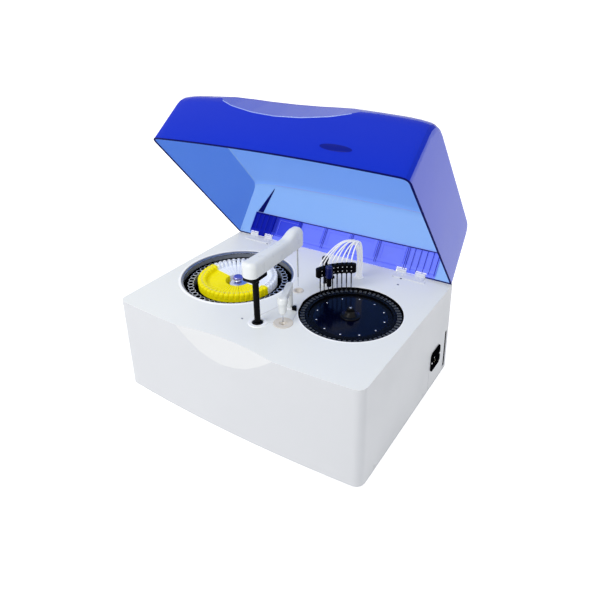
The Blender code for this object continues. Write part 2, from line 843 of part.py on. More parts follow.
def make_reagent_disc():
    """Chamber, shaft, rotor, cups, bottles and hub of the reagent disc."""
    bowl("reagent_chamber", reagent_centre, reagent_opening_radius, chamber_depth, SHEET)
    carrier = axis_empty("reagent_disc_axis", (*reagent_centre, 0.0))
    seat = deck_top - hub_seat_drop
    make_motor("reagent_motor", reagent_centre, motor_top(chamber_depth))
    low = motor_top(chamber_depth) - motor_bore_depth + fit_gap
    rod("reagent_shaft", shaft_radius, low, seat, (0.0, 0.0), STEEL, carrier, 16)
    floor = deck_top - rotor_floor_drop
    trough = deck_top - trough_floor_drop
    rim = deck_top - rotor_rim_drop
    divider = deck_top - rotor_divider_drop
    bore = shaft_radius + fit_gap
    profile = [(rotor_rim_radius, rim), (rotor_rim_radius, trough - rotor_floor_thickness),
               (divider_radius + divider_wall, trough - rotor_floor_thickness),
               (divider_radius + divider_wall, floor - rotor_floor_thickness),
               (bore, floor - rotor_floor_thickness), (bore, seat), (hub_post_radius, seat),
               (hub_post_radius, floor), (divider_radius, floor), (divider_radius, divider),
               (divider_radius + divider_wall, divider), (divider_radius + divider_wall, trough),
               (rotor_rim_radius - rotor_rim_wall, trough), (rotor_rim_radius - rotor_rim_wall, rim)]
    turned("reagent_rotor", profile, (0.0, 0.0), BLACK, carrier, rotor_sides)
    make_cups(carrier, trough + fit_gap)
    make_bottles(carrier, floor + fit_gap)
    make_hub(carrier, seat + fit_gap)
    return carrier


def reagent_phase():
    """The angle of the first bottle, so that a bottle stands where the probe comes to its limit."""
    angle = probe_stop_angle()[1]
    pitch = math.tau / reagent_positions
    return angle % pitch


def make_cups(carrier, low):
    """The ring of round sample cups in the rotor's trough, on the thin ring that carries them."""
    inner = divider_radius + divider_wall + running_gap
    outer = rotor_rim_radius - rotor_rim_wall - running_gap * 2
    middle = (inner + outer) / 2
    top = deck_top - cup_top_drop
    base = low + carrier_thickness
    section = [(outer, base), (outer, low), (inner, low), (inner, base)]
    ring = turned("sample_cups", section, (0.0, 0.0), CLEAR, carrier, rotor_sides)
    cup = mesh_from("cup", rod_shape(cup_radius, low + carrier_thickness / 2, top, (middle, 0.0), 6))
    join(ring, group_cutter("cups", ring_of(cup, reagent_positions, reagent_phase()), carrier))


def evaluated_mesh(thing):
    """The mesh of an object with its modifiers, in its own frame; the object and its cutters go."""
    bpy.context.view_layer.update()
    ready = thing.evaluated_get(bpy.context.evaluated_depsgraph_get())
    mesh = bpy.data.meshes.new_from_object(ready)
    used = [step.object for step in thing.modifiers if step.type == "BOOLEAN"]
    for other in used:
        bpy.data.objects.remove(other, do_unlink=True)
    bpy.data.objects.remove(thing, do_unlink=True)
    return mesh


def bottle_mesh(low):
    """One wedge-shaped bottle on the X axis, with its raised collar."""
    top = deck_top - bottle_top_drop
    high = deck_top - collar_top_drop
    start = bottle_outer_radius - collar_length
    points = [(bottle_inner_radius, low), (bottle_outer_radius, low), (bottle_outer_radius, high),
              (start, high), (start, top), (bottle_inner_radius, top)]
    mesh = outline_mesh("bottle", points, -bottle_outer_radius, bottle_outer_radius)
    mesh.transform(Matrix.Rotation(math.pi / 2, 4, "X"))
    half_pitch = math.pi / reagent_positions
    for vert in mesh.vertices:
        half = vert.co.x * math.tan(half_pitch) - bottle_gap / 2
        vert.co.y = math.copysign(half, vert.co.y)
    return mesh


def mouth_circle_radius():
    """The circle on which the bottles' mouths lie."""
    return bottle_outer_radius - collar_length / 2


def make_bottles(carrier, low):
    """The yellow bottles round the left and front, and the white ones behind, each set on its tray."""
    pitch = math.tau / reagent_positions
    last_yellow = reagent_phase() - pitch * math.floor(yellow_end_angle / pitch)
    make_bottle_set("yellow_bottles", last_yellow - (yellow_positions - 1) * pitch, yellow_positions, YELLOW,
                    carrier, low)
    make_bottle_set("white_bottles", last_yellow + pitch, reagent_positions - yellow_positions, BOTTLE_WHITE,
                    carrier, low)


def make_bottle_set(name, first, count, material, carrier, low):
    """A run of bottles that stand side by side on a thin tray."""
    pitch = math.tau / reagent_positions
    start, end = first - pitch * tray_end_share, first + pitch * (count - 1 + tray_end_share)
    middle = (0.0, 0.0)
    edge = arc(middle, bottle_outer_radius - wall, start, end, count)
    edge += arc(middle, bottle_inner_radius + wall, end, start, count)
    tray = outline(name, edge, low, low + carrier_thickness, material, carrier)
    high = deck_top - collar_top_drop
    bottle = bottle_mesh(low + carrier_thickness / 2)
    mouth = mesh_from("mouth", rod_shape(mouth_radius, high - mouth_depth, high + overrun,
                                         (mouth_circle_radius(), 0.0), 6))
    join(tray, group_cutter(name + "_row", run_of(bottle, count, first), carrier))
    cut(tray, group_cutter(name + "_mouths", run_of(mouth, count, first), carrier))


def run_of(mesh, count, first):
    """Copies of a mesh side by side at the bottles' pitch; the pattern goes."""
    pitch = math.tau / reagent_positions
    copies = [moved(mesh, Matrix.Rotation(first + index * pitch, 4, "Z")) for index in range(count)]
    bpy.data.meshes.remove(mesh)
    return copies


hub_flange_radius = 0.025
hub_flange_height = 0.009
hub_dome_radius = 0.0145
hub_dome_drop = 0.002
hub_ring_radius = 0.0165
hub_ring_height = 0.003


def make_hub(carrier, seat):
    """The violet knob that clamps the rotor, with the bright ring round its dome."""
    step = seat + hub_flange_height
    top = deck_top - hub_dome_drop
    soft = hub_dome_radius / 3
    dome = arc((hub_dome_radius - soft, top - soft), soft, math.pi / 2, 0.0, 3)
    ring_top = step + hub_ring_height
    profile = [(0.0, top)] + dome + [
        (hub_dome_radius, ring_top), (hub_ring_radius, ring_top),
        (hub_ring_radius, step), (hub_flange_radius - soft / 2, step),
        (hub_flange_radius, step - soft / 2), (hub_flange_radius, seat), (0.0, seat)]
    turned("reagent_knob", profile, (0.0, 0.0), VIOLET, carrier, small_sides, closed=False)


# Reaction disc
bath_depth = 0.050
ring_drop = 0.006
ring_edge_gap = 0.0035
ring_seat_width = 0.0140
ring_outer_radius = reaction_opening_radius - ring_edge_gap
ring_inner_radius = cuvette_circle_radius - ring_seat_width
ring_thickness = 0.0105
web_drop = 0.0135
boss_radius = 0.018
boss_drop = 0.028
cover_plate_gap = 0.0010
cover_plate_radius = ring_inner_radius - cover_plate_gap
cover_plate_drop = 0.0105
knob_seat_radius = 0.006
knob_base_radius = 0.0245
knob_neck_radius = 0.0100
knob_top_radius = 0.0080
knob_height = 0.014
plate_screw_count = 12
plate_screw_inset = 0.018
plate_screw_circle_radius = cover_plate_radius - plate_screw_inset
plate_screw_first_angle = math.radians(12)
plate_screw_radius = 0.0022
plate_screw_height = 0.0012
cuvette_size = (0.0100, 0.0058)
cuvette_wall = 0.0007
cuvette_depth = 0.037
photometer_size = (0.050, 0.040, 0.030)
photometer_angle = math.radians(-60)


def cuvette_phase():
    """The angle of the first cuvette, so that the wash needles stand over cuvettes."""
    return wash_mid_angle + math.pi / reaction_positions


def make_reaction_disc():
    """Bath, shaft, rotor, cuvettes, cover plate, knob and photometer of the reaction disc."""
    bowl("reaction_bath", reaction_centre, reaction_opening_radius, bath_depth, BLACK)
    carrier = axis_empty("reaction_disc_axis", (*reaction_centre, 0.0))
    web = deck_top - web_drop
    make_motor("reaction_motor", reaction_centre, motor_top(bath_depth))
    low = motor_top(bath_depth) - motor_bore_depth + fit_gap
    rod("reaction_shaft", shaft_radius, low, web, (0.0, 0.0), STEEL, carrier, 16)
    top = deck_top - ring_drop
    under = top - ring_thickness
    boss = deck_top - boss_drop
    bore = shaft_radius + fit_gap
    profile = [(ring_outer_radius, top), (ring_outer_radius, under), (boss_radius, under),
               (boss_radius, boss), (bore, boss), (bore, web), (ring_inner_radius, web),
               (ring_inner_radius, top)]
    rotor = turned("reaction_rotor", profile, (0.0, 0.0), BLACK, carrier, rotor_sides)
    gap = fit_gap
    pocket = mesh_from("pocket", box_shape(
        (cuvette_circle_radius - cuvette_size[0] / 2 - gap, -cuvette_size[1] / 2 - gap, under - overrun),
        (cuvette_circle_radius + cuvette_size[0] / 2 + gap, cuvette_size[1] / 2 + gap, top + overrun)))
    cut(rotor, group_cutter("cuvette_pockets", ring_of(pocket, reaction_positions, cuvette_phase()), carrier))
    make_cuvettes(carrier, top + fit_gap)
    plate_top = deck_top - cover_plate_drop
    plate = [(cover_plate_radius, plate_top), (cover_plate_radius, web + fit_gap),
             (knob_seat_radius, web + fit_gap), (knob_seat_radius, plate_top)]
    cover = turned("reaction_cover_plate", plate, (0.0, 0.0), NAVY, carrier, disc_sides)
    join(cover, plate_screws(plate_top, carrier))
    make_reaction_knob(carrier, plate_top + fit_gap)
    make_photometer()
    return carrier


def ring_of(mesh, count, phase):
    """Copies of a mesh at equal steps about Z; the pattern goes."""
    step = math.tau / count
    copies = [moved(mesh, Matrix.Rotation(phase + index * step, 4, "Z")) for index in range(count)]
    bpy.data.meshes.remove(mesh)
    return copies


def make_cuvettes(carrier, top):
    """The open cuvettes that stand up through the rotor's pockets, on the ring that joins their feet."""
    low = top - cuvette_depth
    half_x, half_y = cuvette_size[0] / 2, cuvette_size[1] / 2
    inner = cuvette_circle_radius - half_x - cuvette_wall
    outer = cuvette_circle_radius + half_x + cuvette_wall
    base = low + carrier_thickness
    ring = turned("cuvettes", [(outer, base), (outer, low), (inner, low), (inner, base)],
                  (0.0, 0.0), CLEAR, carrier, rotor_sides)
    cell = mesh_from("cell", box_shape((cuvette_circle_radius - half_x, -half_y, low + carrier_thickness / 2),
                                       (cuvette_circle_radius + half_x, half_y, top)))
    bore = mesh_from("cell_bore", box_shape(
        (cuvette_circle_radius - half_x + cuvette_wall, -half_y + cuvette_wall, base + cuvette_wall),
        (cuvette_circle_radius + half_x - cuvette_wall, half_y - cuvette_wall, top + overrun)))
    join(ring, group_cutter("cells", ring_of(cell, reaction_positions, cuvette_phase()), carrier))
    cut(ring, group_cutter("cell_bores", ring_of(bore, reaction_positions, cuvette_phase()), carrier))


def plate_screws(seat, carrier):
    """The ring of pan-head screws in the cover plate."""
    head = mesh_from("head", rod_shape(plate_screw_radius, seat - fit_gap, seat + plate_screw_height,
                                       (plate_screw_circle_radius, 0.0), 6, plate_screw_radius / 2))
    return group_cutter("plate_screws", ring_of(head, plate_screw_count, plate_screw_first_angle), carrier)


def make_reaction_knob(carrier, seat):
    """The tall conical knob in the middle of the reaction disc."""
    top = deck_top + knob_height
    rise = top - seat
    soft = knob_top_radius / 3
    profile = [(0.0, top), (knob_top_radius - soft, top), (knob_top_radius, top - soft),
               (knob_neck_radius, seat + rise / 2), (knob_base_radius - rise / 4, seat + rise / 5),
               (knob_base_radius, seat + rise / 10), (knob_base_radius, seat), (0.0, seat)]
    turned("reaction_knob", profile, (0.0, 0.0), BLACK, carrier, small_sides, closed=False)


def make_photometer():
    """The photometer's lamp and detector block below the bath."""
    size = photometer_size
    top = motor_top(bath_depth)
    shape = box_shape((cuvette_circle_radius - size[0], -size[1] / 2, top - size[2]),
                      (cuvette_circle_radius, size[1] / 2, top))
    round_edges(shape, size[1] / 10, 1, is_upright)
    shape.transform(around(reaction_centre, photometer_angle))
    add("photometer", mesh_from("photometer", shape), BLACK)


# Guides, wells and columns


def guide(name, place, inner_radius):
    """A flanged bush through the deck in which a column slides."""
    flange = deck_top + fit_gap + guide_flange_thickness
    seat = deck_top + fit_gap
    low = deck_under - guide_depth
    profile = [(guide_flange_radius, flange), (guide_flange_radius, seat), (guide_radius, seat),
               (guide_radius, low), (inner_radius, low), (inner_radius, flange)]
    return turned(name, profile, place, BLACK, steps=small_sides)


def well(name, place, rim_radius):
    """An ivory wash well: a rim on the deck, a dished mouth and a blind bore."""
    seat = deck_top + fit_gap
    rim = seat + well_rim_height
    low = deck_top - well_depth
    floor = low + chamber_wall
    dish = (rim_radius + well_bore_radius) / 2
    profile = [(rim_radius, rim), (rim_radius, seat), (well_body_radius, seat), (well_body_radius, low),
               (0.0, low)]
    inside = [(0.0, floor), (well_bore_radius, floor), (well_bore_radius, seat),
              (min(dish, well_body_radius), seat + well_rim_height / 2)]
    edge = [(rim_radius - well_rim_height, rim)]
    return turned(name, profile + inside + edge, place, IVORY, steps=small_sides)


def wash_place():
    """Where the wash station's column stands."""
    return on_circle(reaction_centre, wash_column_circle_radius, wash_mid_angle + math.radians(4.6))


def probe_target():
    """The cuvette over which the probe comes at one end of its swing."""
    pitch = math.tau / reaction_positions
    wanted = heading(reaction_centre, (probe_place[0] + probe_side_step, probe_place[1] + probe_side_rise))
    index = round((wanted - cuvette_phase()) / pitch)
    return on_circle(reaction_centre, cuvette_circle_radius, cuvette_phase() + index * pitch)


probe_side_step = 0.050
probe_side_rise = 0.172


def probe_reach():
    """The distance from the probe's column to its needle."""
    return distance(probe_place, probe_target())


def probe_well_place():
    """The probe's wash well, straight behind its column."""
    return (probe_place[0], probe_place[1] + probe_reach())


def probe_stop_angle():
    """The probe's swing to the bottle mouths, and the angle of that mouth about the reagent disc."""
    span = distance(probe_place, reagent_centre)
    reach = probe_reach()
    mouth = mouth_circle_radius()
    spread = math.acos((span ** 2 + reach ** 2 - mouth ** 2) / (2 * span * reach))
    direction = heading(probe_place, reagent_centre) - spread
    tip = on_circle(probe_place, reach, direction)
    return direction - math.pi / 2, heading(reagent_centre, tip)


def probe_low_angle():
    """The probe's swing to the cuvette."""
    return heading(probe_place, probe_target()) - math.pi / 2


def mixer_well_place():
    """The mixer's wash well."""
    return on_circle(mixer_place, mixer_reach, mixer_rest_angle)


def mixer_stop_angle():
    """The mixer's swing from its well to the nearest cuvette on its circle."""
    span = distance(mixer_place, reaction_centre)
    cosine = (span ** 2 + mixer_reach ** 2 - cuvette_circle_radius ** 2) / (2 * span * mixer_reach)
    return heading(mixer_place, reaction_centre) - math.acos(cosine) - mixer_rest_angle


# Probe arm
arm_low = 0.130
arm_height = 0.038
arm_hump = 0.052
arm_near_reach = 0.032
arm_near_width = 0.040
arm_far_width = 0.028
arm_far_reach = 0.015
column_depth = 0.085
arm_base_height = 0.012
arm_base_width = 0.034
arm_base_reach = 0.026
needle_radius = 0.0016
needle_tip_radius = 0.0007
needle_tip_height = 0.0134
needle_step_height = 0.039


def make_probe():
    """Guide, column, arm base, arm cover, needle and well of the probe."""
    guide("probe_guide", probe_place, column_radius + running_gap)
    well("probe_wash_well", probe_well_place(), well_radius)
    lift = axis_empty("probe_lift_axis", (*probe_place, 0.0))
    low = deck_top + arm_low
    base_low = low - arm_base_height
    rod("probe_column", column_radius, deck_top - column_depth, base_low - fit_gap, (0.0, 0.0), BLACK, lift)
    swing = axis_empty("probe_swing_axis", (0.0, 0.0, 0.0), lift)
    block("probe_arm_base", (-arm_base_width / 2, -arm_base_reach, base_low),
          (arm_base_width / 2, arm_base_reach, low - fit_gap), BLACK, swing, radius=arm_base_width / 5)
    make_arm_cover(swing, low)
    make_needle(swing, low)


def make_arm_cover(swing, low):
    """The white moulded cover: a long box with a hump over the needle and soft edges."""
    reach = probe_reach()
    near = -arm_near_reach
    far = reach + arm_far_reach
    top = low + arm_height
    hump = low + arm_hump
    start = far - arm_hump * 1.35
    side = rounded([((near, low), arm_height / 8, 2), ((far, low), arm_height / 8, 2),
                    ((far, hump), arm_height / 2.6, 4), ((far - arm_hump / 2, hump), arm_height / 3, 3),
                    ((start, top), arm_height, 3), ((near, top), arm_height / 4, 3)])
    cover = side_outline("probe_arm_cover", side, -arm_near_width / 2, arm_near_width / 2, ARM_WHITE, swing)
    plan = rounded([((-arm_near_width / 2, near), arm_near_width / 3, 3),
                    ((arm_near_width / 2, near), arm_near_width / 3, 3),
                    ((arm_far_width / 2, far), arm_far_width / 2.3, 4),
                    ((-arm_far_width / 2, far), arm_far_width / 2.3, 4)])
    boolean(cover, outline("arm_plan", plan, low - overrun, hump + overrun, None, swing), "INTERSECT")
    return cover


def make_needle(swing, low):
    """The probe's needle: a thick upper sleeve and a fine tip."""
    reach = probe_reach()
    shape = rod_shape(needle_radius, deck_top + needle_step_height, low - fit_gap, (0.0, reach), 12)
    needle = add("probe_needle", mesh_from("probe_needle", shape), STEEL, swing)
    join(needle, rod("needle_tip", needle_tip_radius, deck_top + needle_tip_height,
                     deck_top + needle_step_height + needle_radius, (0.0, reach), None, swing, 8))


# Mixer
mixer_arm_low = 0.050
mixer_arm_top = 0.070
mixer_arm_width = 0.017
mixer_head_radius = 0.013
mixer_head_foot_radius = 0.0092
mixer_head_low = 0.026
paddle_radius = 0.0011
paddle_width = 0.0028
paddle_thickness = 0.0010
paddle_length = 0.008
paddle_low = 0.004


def make_mixer():
    """Guide, column, arm with its motor head, paddle and well of the mixer."""
    guide("mixer_guide", mixer_place, column_radius + running_gap)
    well("mixer_wash_well", mixer_well_place(), mixer_well_radius)
    lift = axis_empty("mixer_lift_axis", (*mixer_place, 0.0))
    low = deck_top + mixer_arm_low
    rod("mixer_column", column_radius, deck_top - column_depth, low - fit_gap, (0.0, 0.0), ARM_WHITE, lift)
    swing = axis_empty("mixer_swing_axis", (0.0, 0.0, 0.0), lift, (0.0, 0.0, mixer_rest_angle))
    half = mixer_arm_width / 2
    plan = arc((0.0, 0.0), half, math.pi / 2, math.pi * 3 / 2, 8)
    head = arc((mixer_reach, 0.0), mixer_head_radius, math.radians(-150), math.radians(150), 14)
    arm = outline("mixer_arm", plan + head, low, deck_top + mixer_arm_top, ARM_WHITE, swing)
    foot = rod("mixer_motor", mixer_head_foot_radius, deck_top + mixer_head_low, low + wall,
               (mixer_reach, 0.0), None, swing, 24, mixer_head_radius - running_gap)
    join(arm, foot)
    spin = axis_empty("mixer_spin_axis", (mixer_reach, 0.0, 0.0), swing)
    low = deck_top + paddle_low
    paddle = rod("mixer_paddle", paddle_radius, low + paddle_length / 2, deck_top + mixer_head_low - fit_gap,
                 (0.0, 0.0), STEEL, spin, 12)
    join(paddle, block("paddle_blade", (-paddle_thickness / 2, -paddle_width / 2, low),
                       (paddle_thickness / 2, paddle_width / 2, low + paddle_length), None, spin))


# Wash station
wash_needle_count = 8
wash_needle_radius = 0.0009
wash_needle_tip_drop = 0.002
needle_plate_thickness = 0.002
manifold_low = 0.050
manifold_top = 0.074
manifold_width = 0.016
bracket_width = 0.014
cap_radius = 0.0095
cap_top = 0.079
fitting_stub_radius = 0.0028
fitting_stub_height = 0.004
tube_radius = 0.0014
tube_rise = 0.016
tube_peak = 0.150
tube_points = 8
gland_height = 0.004
plug_radius = 0.010
plug_height = 0.003
plug_circle_radius = 0.0072
tube_fan_share = 0.02


def wash_needle_angles():
    """The angles about the reaction disc at which the wash needles stand."""
    pitch = math.tau / reaction_positions
    middle = (wash_needle_count - 1) / 2
    return [wash_mid_angle + (index - middle) * pitch for index in range(wash_needle_count)]


def make_wash_station():
    """Guide, column, manifold, needles, cap, tubes and gland of the wash station."""
    place = wash_place()
    guide("wash_guide", place, wash_column_radius + running_gap)
    lift = axis_empty("wash_lift_axis", (*place, 0.0))
    low, top = deck_top + manifold_low, deck_top + manifold_top
    rod("wash_column", wash_column_radius, deck_top - column_depth, low - fit_gap, (0.0, 0.0), BLACK, lift)
    manifold = add("wash_manifold", manifold_mesh(place, low, top), BLACK, lift)
    reach = heading(place, reaction_centre)
    span = wash_column_circle_radius - cuvette_circle_radius
    arm = block("wash_bracket", (-cap_radius, -bracket_width / 2, low),
                (span, bracket_width / 2, (low + top) / 2), None, lift)
    arm.rotation_euler = (0.0, 0.0, reach)
    join(manifold, arm)
    cap_low = (low + top) / 2 + fit_gap
    cap = [(0.0, deck_top + cap_top), (cap_radius * 0.8, deck_top + cap_top),
           (cap_radius, deck_top + cap_top - cap_radius / 5), (cap_radius, cap_low), (0.0, cap_low)]
    turned("wash_cap", cap, (0.0, 0.0), NAVY, lift, 24, closed=False)
    make_wash_needles(place, lift, low - fit_gap)
    make_wash_tubes(top)


def manifold_mesh(place, low, top):
    """The curved bar that carries the needles, with a stub for each tube."""
    pitch = math.tau / reaction_positions
    angles = wash_needle_angles()
    start, end = angles[0] - pitch * 0.6, angles[-1] + pitch * 0.6
    steps = wash_needle_count + 1
    outer = arc(reaction_centre, cuvette_circle_radius + manifold_width / 2, start, end, steps)
    inner = arc(reaction_centre, cuvette_circle_radius - manifold_width / 2, end, start, steps)
    bar = add("bar", outline_mesh("bar", outer + inner, low, top))
    for angle in angles:
        spot = on_circle(reaction_centre, cuvette_circle_radius, angle)
        join(bar, rod("stub", fitting_stub_radius, top - wall, top + fitting_stub_height, spot, sides=8))
    mesh = evaluated_mesh(bar)
    mesh.transform(Matrix.Translation((-place[0], -place[1], 0.0)))
    return mesh


def make_wash_needles(place, lift, low):
    """The row of fine steel needles on the thin plate under the manifold."""
    angles = wash_needle_angles()
    margin = wash_needle_radius * 3
    turn = margin / cuvette_circle_radius
    edge = arc(reaction_centre, cuvette_circle_radius + margin, angles[0] - turn, angles[-1] + turn,
               wash_needle_count)
    edge += arc(reaction_centre, cuvette_circle_radius - margin, angles[-1] + turn, angles[0] - turn,
                wash_needle_count)
    plate = outline_mesh("wash_needles", edge, low - fit_gap - needle_plate_thickness, low - fit_gap)
    plate.transform(Matrix.Translation((-place[0], -place[1], 0.0)))
    needles = add("wash_needles", plate, STEEL, lift)
    rods = []
    for angle in angles:
        x, y = on_circle(reaction_centre, cuvette_circle_radius, angle)
        rods.append(mesh_from("rod", rod_shape(wash_needle_radius, deck_top - wash_needle_tip_drop,
                                               low - fit_gap - needle_plate_thickness / 2,
                                               (x - place[0], y - place[1]), 8)))
    join(needles, group_cutter("wash_needle_rods", rods, lift))


def bezier(ends, handles, steps):
    """Points along one cubic curve."""
    start, end = (Vector(point) for point in ends)
    leave, arrive = (Vector(point) for point in handles)
    route = []
    for step in range(steps + 1):
        t = step / steps
        route.append(start * (1 - t) ** 3 + leave * 3 * t * (1 - t) ** 2
                     + arrive * 3 * t ** 2 * (1 - t) + end * t ** 3)
    return route


def tube_ends():
    """The tubes' lower ends on the gland, in the order that keeps the tubes from crossing."""
    turn = heading(reaction_centre, gland_place)
    pitch = math.tau / wash_needle_count
    ring = [on_circle(gland_place, plug_circle_radius, turn + (index + 0.5) * pitch)
            for index in range(wash_needle_count)]
    across = Vector((-math.sin(wash_mid_angle), math.cos(wash_mid_angle)))
    return sorted(ring, key=lambda spot: Vector(spot) @ across)


def make_wash_tubes(top):
    """The soft tubes that loop from the manifold's stubs to one plug, and the gland under it."""
    start_level = top + fitting_stub_height + fit_gap
    seat = deck_top + gland_height + fit_gap
    plug_top = seat + plug_height
    plug = rod("wash_tubes", plug_radius, seat, plug_top, gland_place, TUBE_WHITE)
    for index, (angle, end) in enumerate(zip(wash_needle_angles(), tube_ends())):
        x, y = on_circle(reaction_centre, cuvette_circle_radius, angle)
        peak = tube_peak * (1 + tube_fan_share * index)
        foot = start_level + tube_radius * 2
        route = bezier(((x, y, foot), (end[0], end[1], plug_top - fit_gap)),
                       ((x, y, foot + tube_rise), (end[0], end[1], plug_top + peak)), tube_points)
        route.insert(0, Vector((x, y, start_level)))
        join(plug, add("tube", tube_mesh("tube", route, tube_radius)))
    low = deck_under - gland_height
    gland = [(0.0, deck_top + gland_height), (gland_radius, deck_top + gland_height),
             (gland_flange_radius, deck_top + gland_height / 2), (gland_flange_radius, deck_top + fit_gap),
             (gland_radius, deck_top + fit_gap), (gland_radius, low), (0.0, low)]
    turned("tube_gland", gland, gland_place, BLACK, steps=24, closed=False)


# Lid, in its closed pose about the hinge axis, on an empty that holds it open
lid_front_rake = 0.012
lid_rear_rake = 0.034
lid_front_radius = 0.052
lid_rear_radius = 0.030
lid_shoulder_width = 0.080
lid_shoulder_drop = 0.012
lid_corner_radius = 0.018
lid_scoop_half_width = 0.200
lid_scoop_depth = 0.0155
lid_scoop_centre = -0.015
lid_scoop_foot_height = 0.103
lid_scoop_top_reach = 0.060
lid_slice_count = 6
lid_round_steps = 3
lid_arch_steps = 5


def lid_rim():
    """The level of the lid's rim below the hinge axis when closed."""
    return rim_gap - hinge_axis_height


def rear_lean():
    """The angle by which the lid's rear wall leans forward from upright."""
    return math.atan2(lid_rear_rake, lid_height)


def rear_face(level, inset):
    """Where the rear wall's face lies at a level above the rim."""
    lean = rear_lean()
    return hinge_axis_inset - inset / math.cos(lean) - math.tan(lean) * level


def front_face(level, inset):
    """Where the front wall's face lies at a level above the rim, at the lid's sides."""
    lean = math.atan2(lid_front_rake, lid_height)
    return hinge_axis_inset - lid_length + inset / math.cos(lean) + math.tan(lean) * level


def lid_profile(inset):
    """The lid's side profile in (y, z) about the hinge axis, drawn in by an inset."""
    rim = lid_rim()
    top = lid_height - inset
    low = -overrun if inset else 0.0
    corners = [((front_face(top, inset), rim + top), lid_front_radius - inset, 6),
               ((rear_face(top, inset), rim + top), lid_rear_radius - inset, 4)]
    corners.append(((rear_face(low, inset), rim + low), 0.0, 0))
    corners.append(((front_face(low, inset), rim + low), 0.0, 0))
    return rounded(corners)


def quarter(share):
    """How far a quarter round has fallen at a share of its width."""
    return 1 - math.sqrt(max(0.0, 1 - min(1.0, max(0.0, share)) ** 2))


def lid_slices(half, shoulder, radius):
    """Where the lid's form is sliced so that its shoulders and corners come out round."""
    flat = half - shoulder
    places = [flat * step / lid_slice_count for step in range(lid_slice_count + 1)]
    places += [flat + (shoulder - radius) * step / lid_round_steps for step in range(1, lid_round_steps)]
    places += [half - radius + radius * math.sin(math.pi / 2 * step / lid_round_steps)
               for step in range(lid_round_steps)]
    return sorted({-place for place in places} | set(places))


def slice_across(shape, place, along):
    """Divides every face of a bmesh that a plane crosses."""
    bmesh.ops.bisect_plane(shape, geom=shape.verts[:] + shape.edges[:] + shape.faces[:],
                           plane_co=place, plane_no=along, dist=0.000001)


def lid_solid(name, inset, material, parent):
    """The lid's outer or inner form: its profile run across, then bowed in front, crowned on top
    and rounded over its shoulders and front corners."""
    half = case_width / 2 - lid_inset - inset
    shoulder = lid_shoulder_width - inset
    drop = lid_shoulder_drop - inset
    radius = lid_corner_radius - inset
    thing = side_outline(name, lid_profile(inset), -half, half, material, parent)
    shape = bmesh.new()
    shape.from_mesh(thing.data)
    for place in lid_slices(half, shoulder, radius):
        slice_across(shape, (place, 0.0, 0.0), (1.0, 0.0, 0.0))
    for step in range(1, lid_arch_steps):
        back = hinge_axis_inset - lid_length * step / lid_arch_steps
        slice_across(shape, (0.0, back, 0.0), (0.0, 1.0, 0.0))
    for vert in shape.verts:
        across = abs(vert.co.x)
        middle = 1 - min(1.0, across / (case_width / 2)) ** 2
        forward = (hinge_axis_inset - vert.co.y) / lid_length
        upward = max(0.0, (vert.co.z - lid_rim()) / lid_height)
        vert.co.y += forward * (radius * quarter((across - half + radius) / radius) - front_bow * middle)
        arch = max(0.0, 1 - (2 * forward - 1) ** 2)
        fall = drop * quarter((across - half + shoulder) / shoulder)
        vert.co.z += upward * (lid_crown * middle * arch - fall)
    bmesh.ops.triangulate(shape, faces=[face for face in shape.faces if len(face.verts) > 4])
    shape.to_mesh(thing.data)
    shape.free()
    return thing


def make_lid():
    """The blue lid shell, its hinge rail and the two hinges."""
    axis_y = case_depth / 2 - hinge_axis_inset
    carrier = axis_empty("lid_hinge_axis", (0.0, axis_y, deck_top + hinge_axis_height), None,
                         (-lid_open_angle, 0.0, 0.0))
    shell = lid_solid("lid_shell", 0.0, LID_BLUE, carrier)
    hollow = lid_solid("lid_hollow", lid_wall, None, carrier)
    front = front_face(0.0, 0.0) - front_bow
    foot = (front_face(lid_scoop_foot_height, 0.0) - front_bow, lid_rim() + lid_scoop_foot_height)
    head = (front + lid_scoop_top_reach, lid_rim() + lid_height + lid_crown / 3)
    reach = lid_scoop_half_width * 2
    for body, growth in ((shell, 0.0), (hollow, lid_wall)):
        cut(body, scoop("lid_scoop", foot, head, lid_scoop_half_width, lid_scoop_depth, growth, reach,
                        lid_scoop_centre, carrier))
    cut(shell, hollow)
    for centre in hinge_places:
        half = (hinge_width + wall) / 2 + running_gap * 2
        reach = knuckle_radius * 2
        cut(shell, block("hinge_notch", (centre - half, -reach, lid_rim() - overrun),
                         (centre + half, reach, knuckle_radius + running_gap * 2), None, carrier))
    make_rail(carrier)
    make_hinges(axis_y)


# Hinge rail on the lid's rear wall, and the two hinges
rail_left = -0.305
rail_right = 0.303
rail_low = 0.0125
rail_high = 0.073
rail_thickness = 0.006
rail_bay_depth = 0.003
rail_first_rib = -0.231
rail_rib_pitch = 0.087
rail_rib_count = 6
rail_rib_width = 0.004
hinge_places = (-0.262, 0.236)
hinge_width = 0.080
knuckle_radius = 0.0045
pin_radius = 0.0020
leaf_thickness = 0.0015
leaf_depth = 0.022
knuckle_share = 0.3
bracket_screw_shares = (0.25, 0.75)


def rear_wall_frame():
    """A matrix from (across, out from the wall, up the wall) to lid space, on the rear wall's inner face."""
    base = Matrix.Translation((0.0, rear_face(0.0, lid_wall), lid_rim()))
    return base @ Matrix.Rotation(rear_lean(), 4, "X") @ Matrix.Diagonal((1.0, -1.0, 1.0, 1.0))


def wall_block(name, low, high, carrier, material=None):
    """A box placed in the rear wall's frame."""
    shape = box_shape(low, high)
    shape.transform(rear_wall_frame())
    bmesh.ops.reverse_faces(shape, faces=shape.faces)
    return add(name, mesh_from(name, shape), material, carrier)


def along_x(radius, low, high, sides=12):
    """A bmesh cylinder along X, on the axis."""
    shape = rod_shape(radius, low, high, (0.0, 0.0), sides)
    shape.transform(Matrix.Rotation(math.pi / 2, 4, "Y"))
    return shape


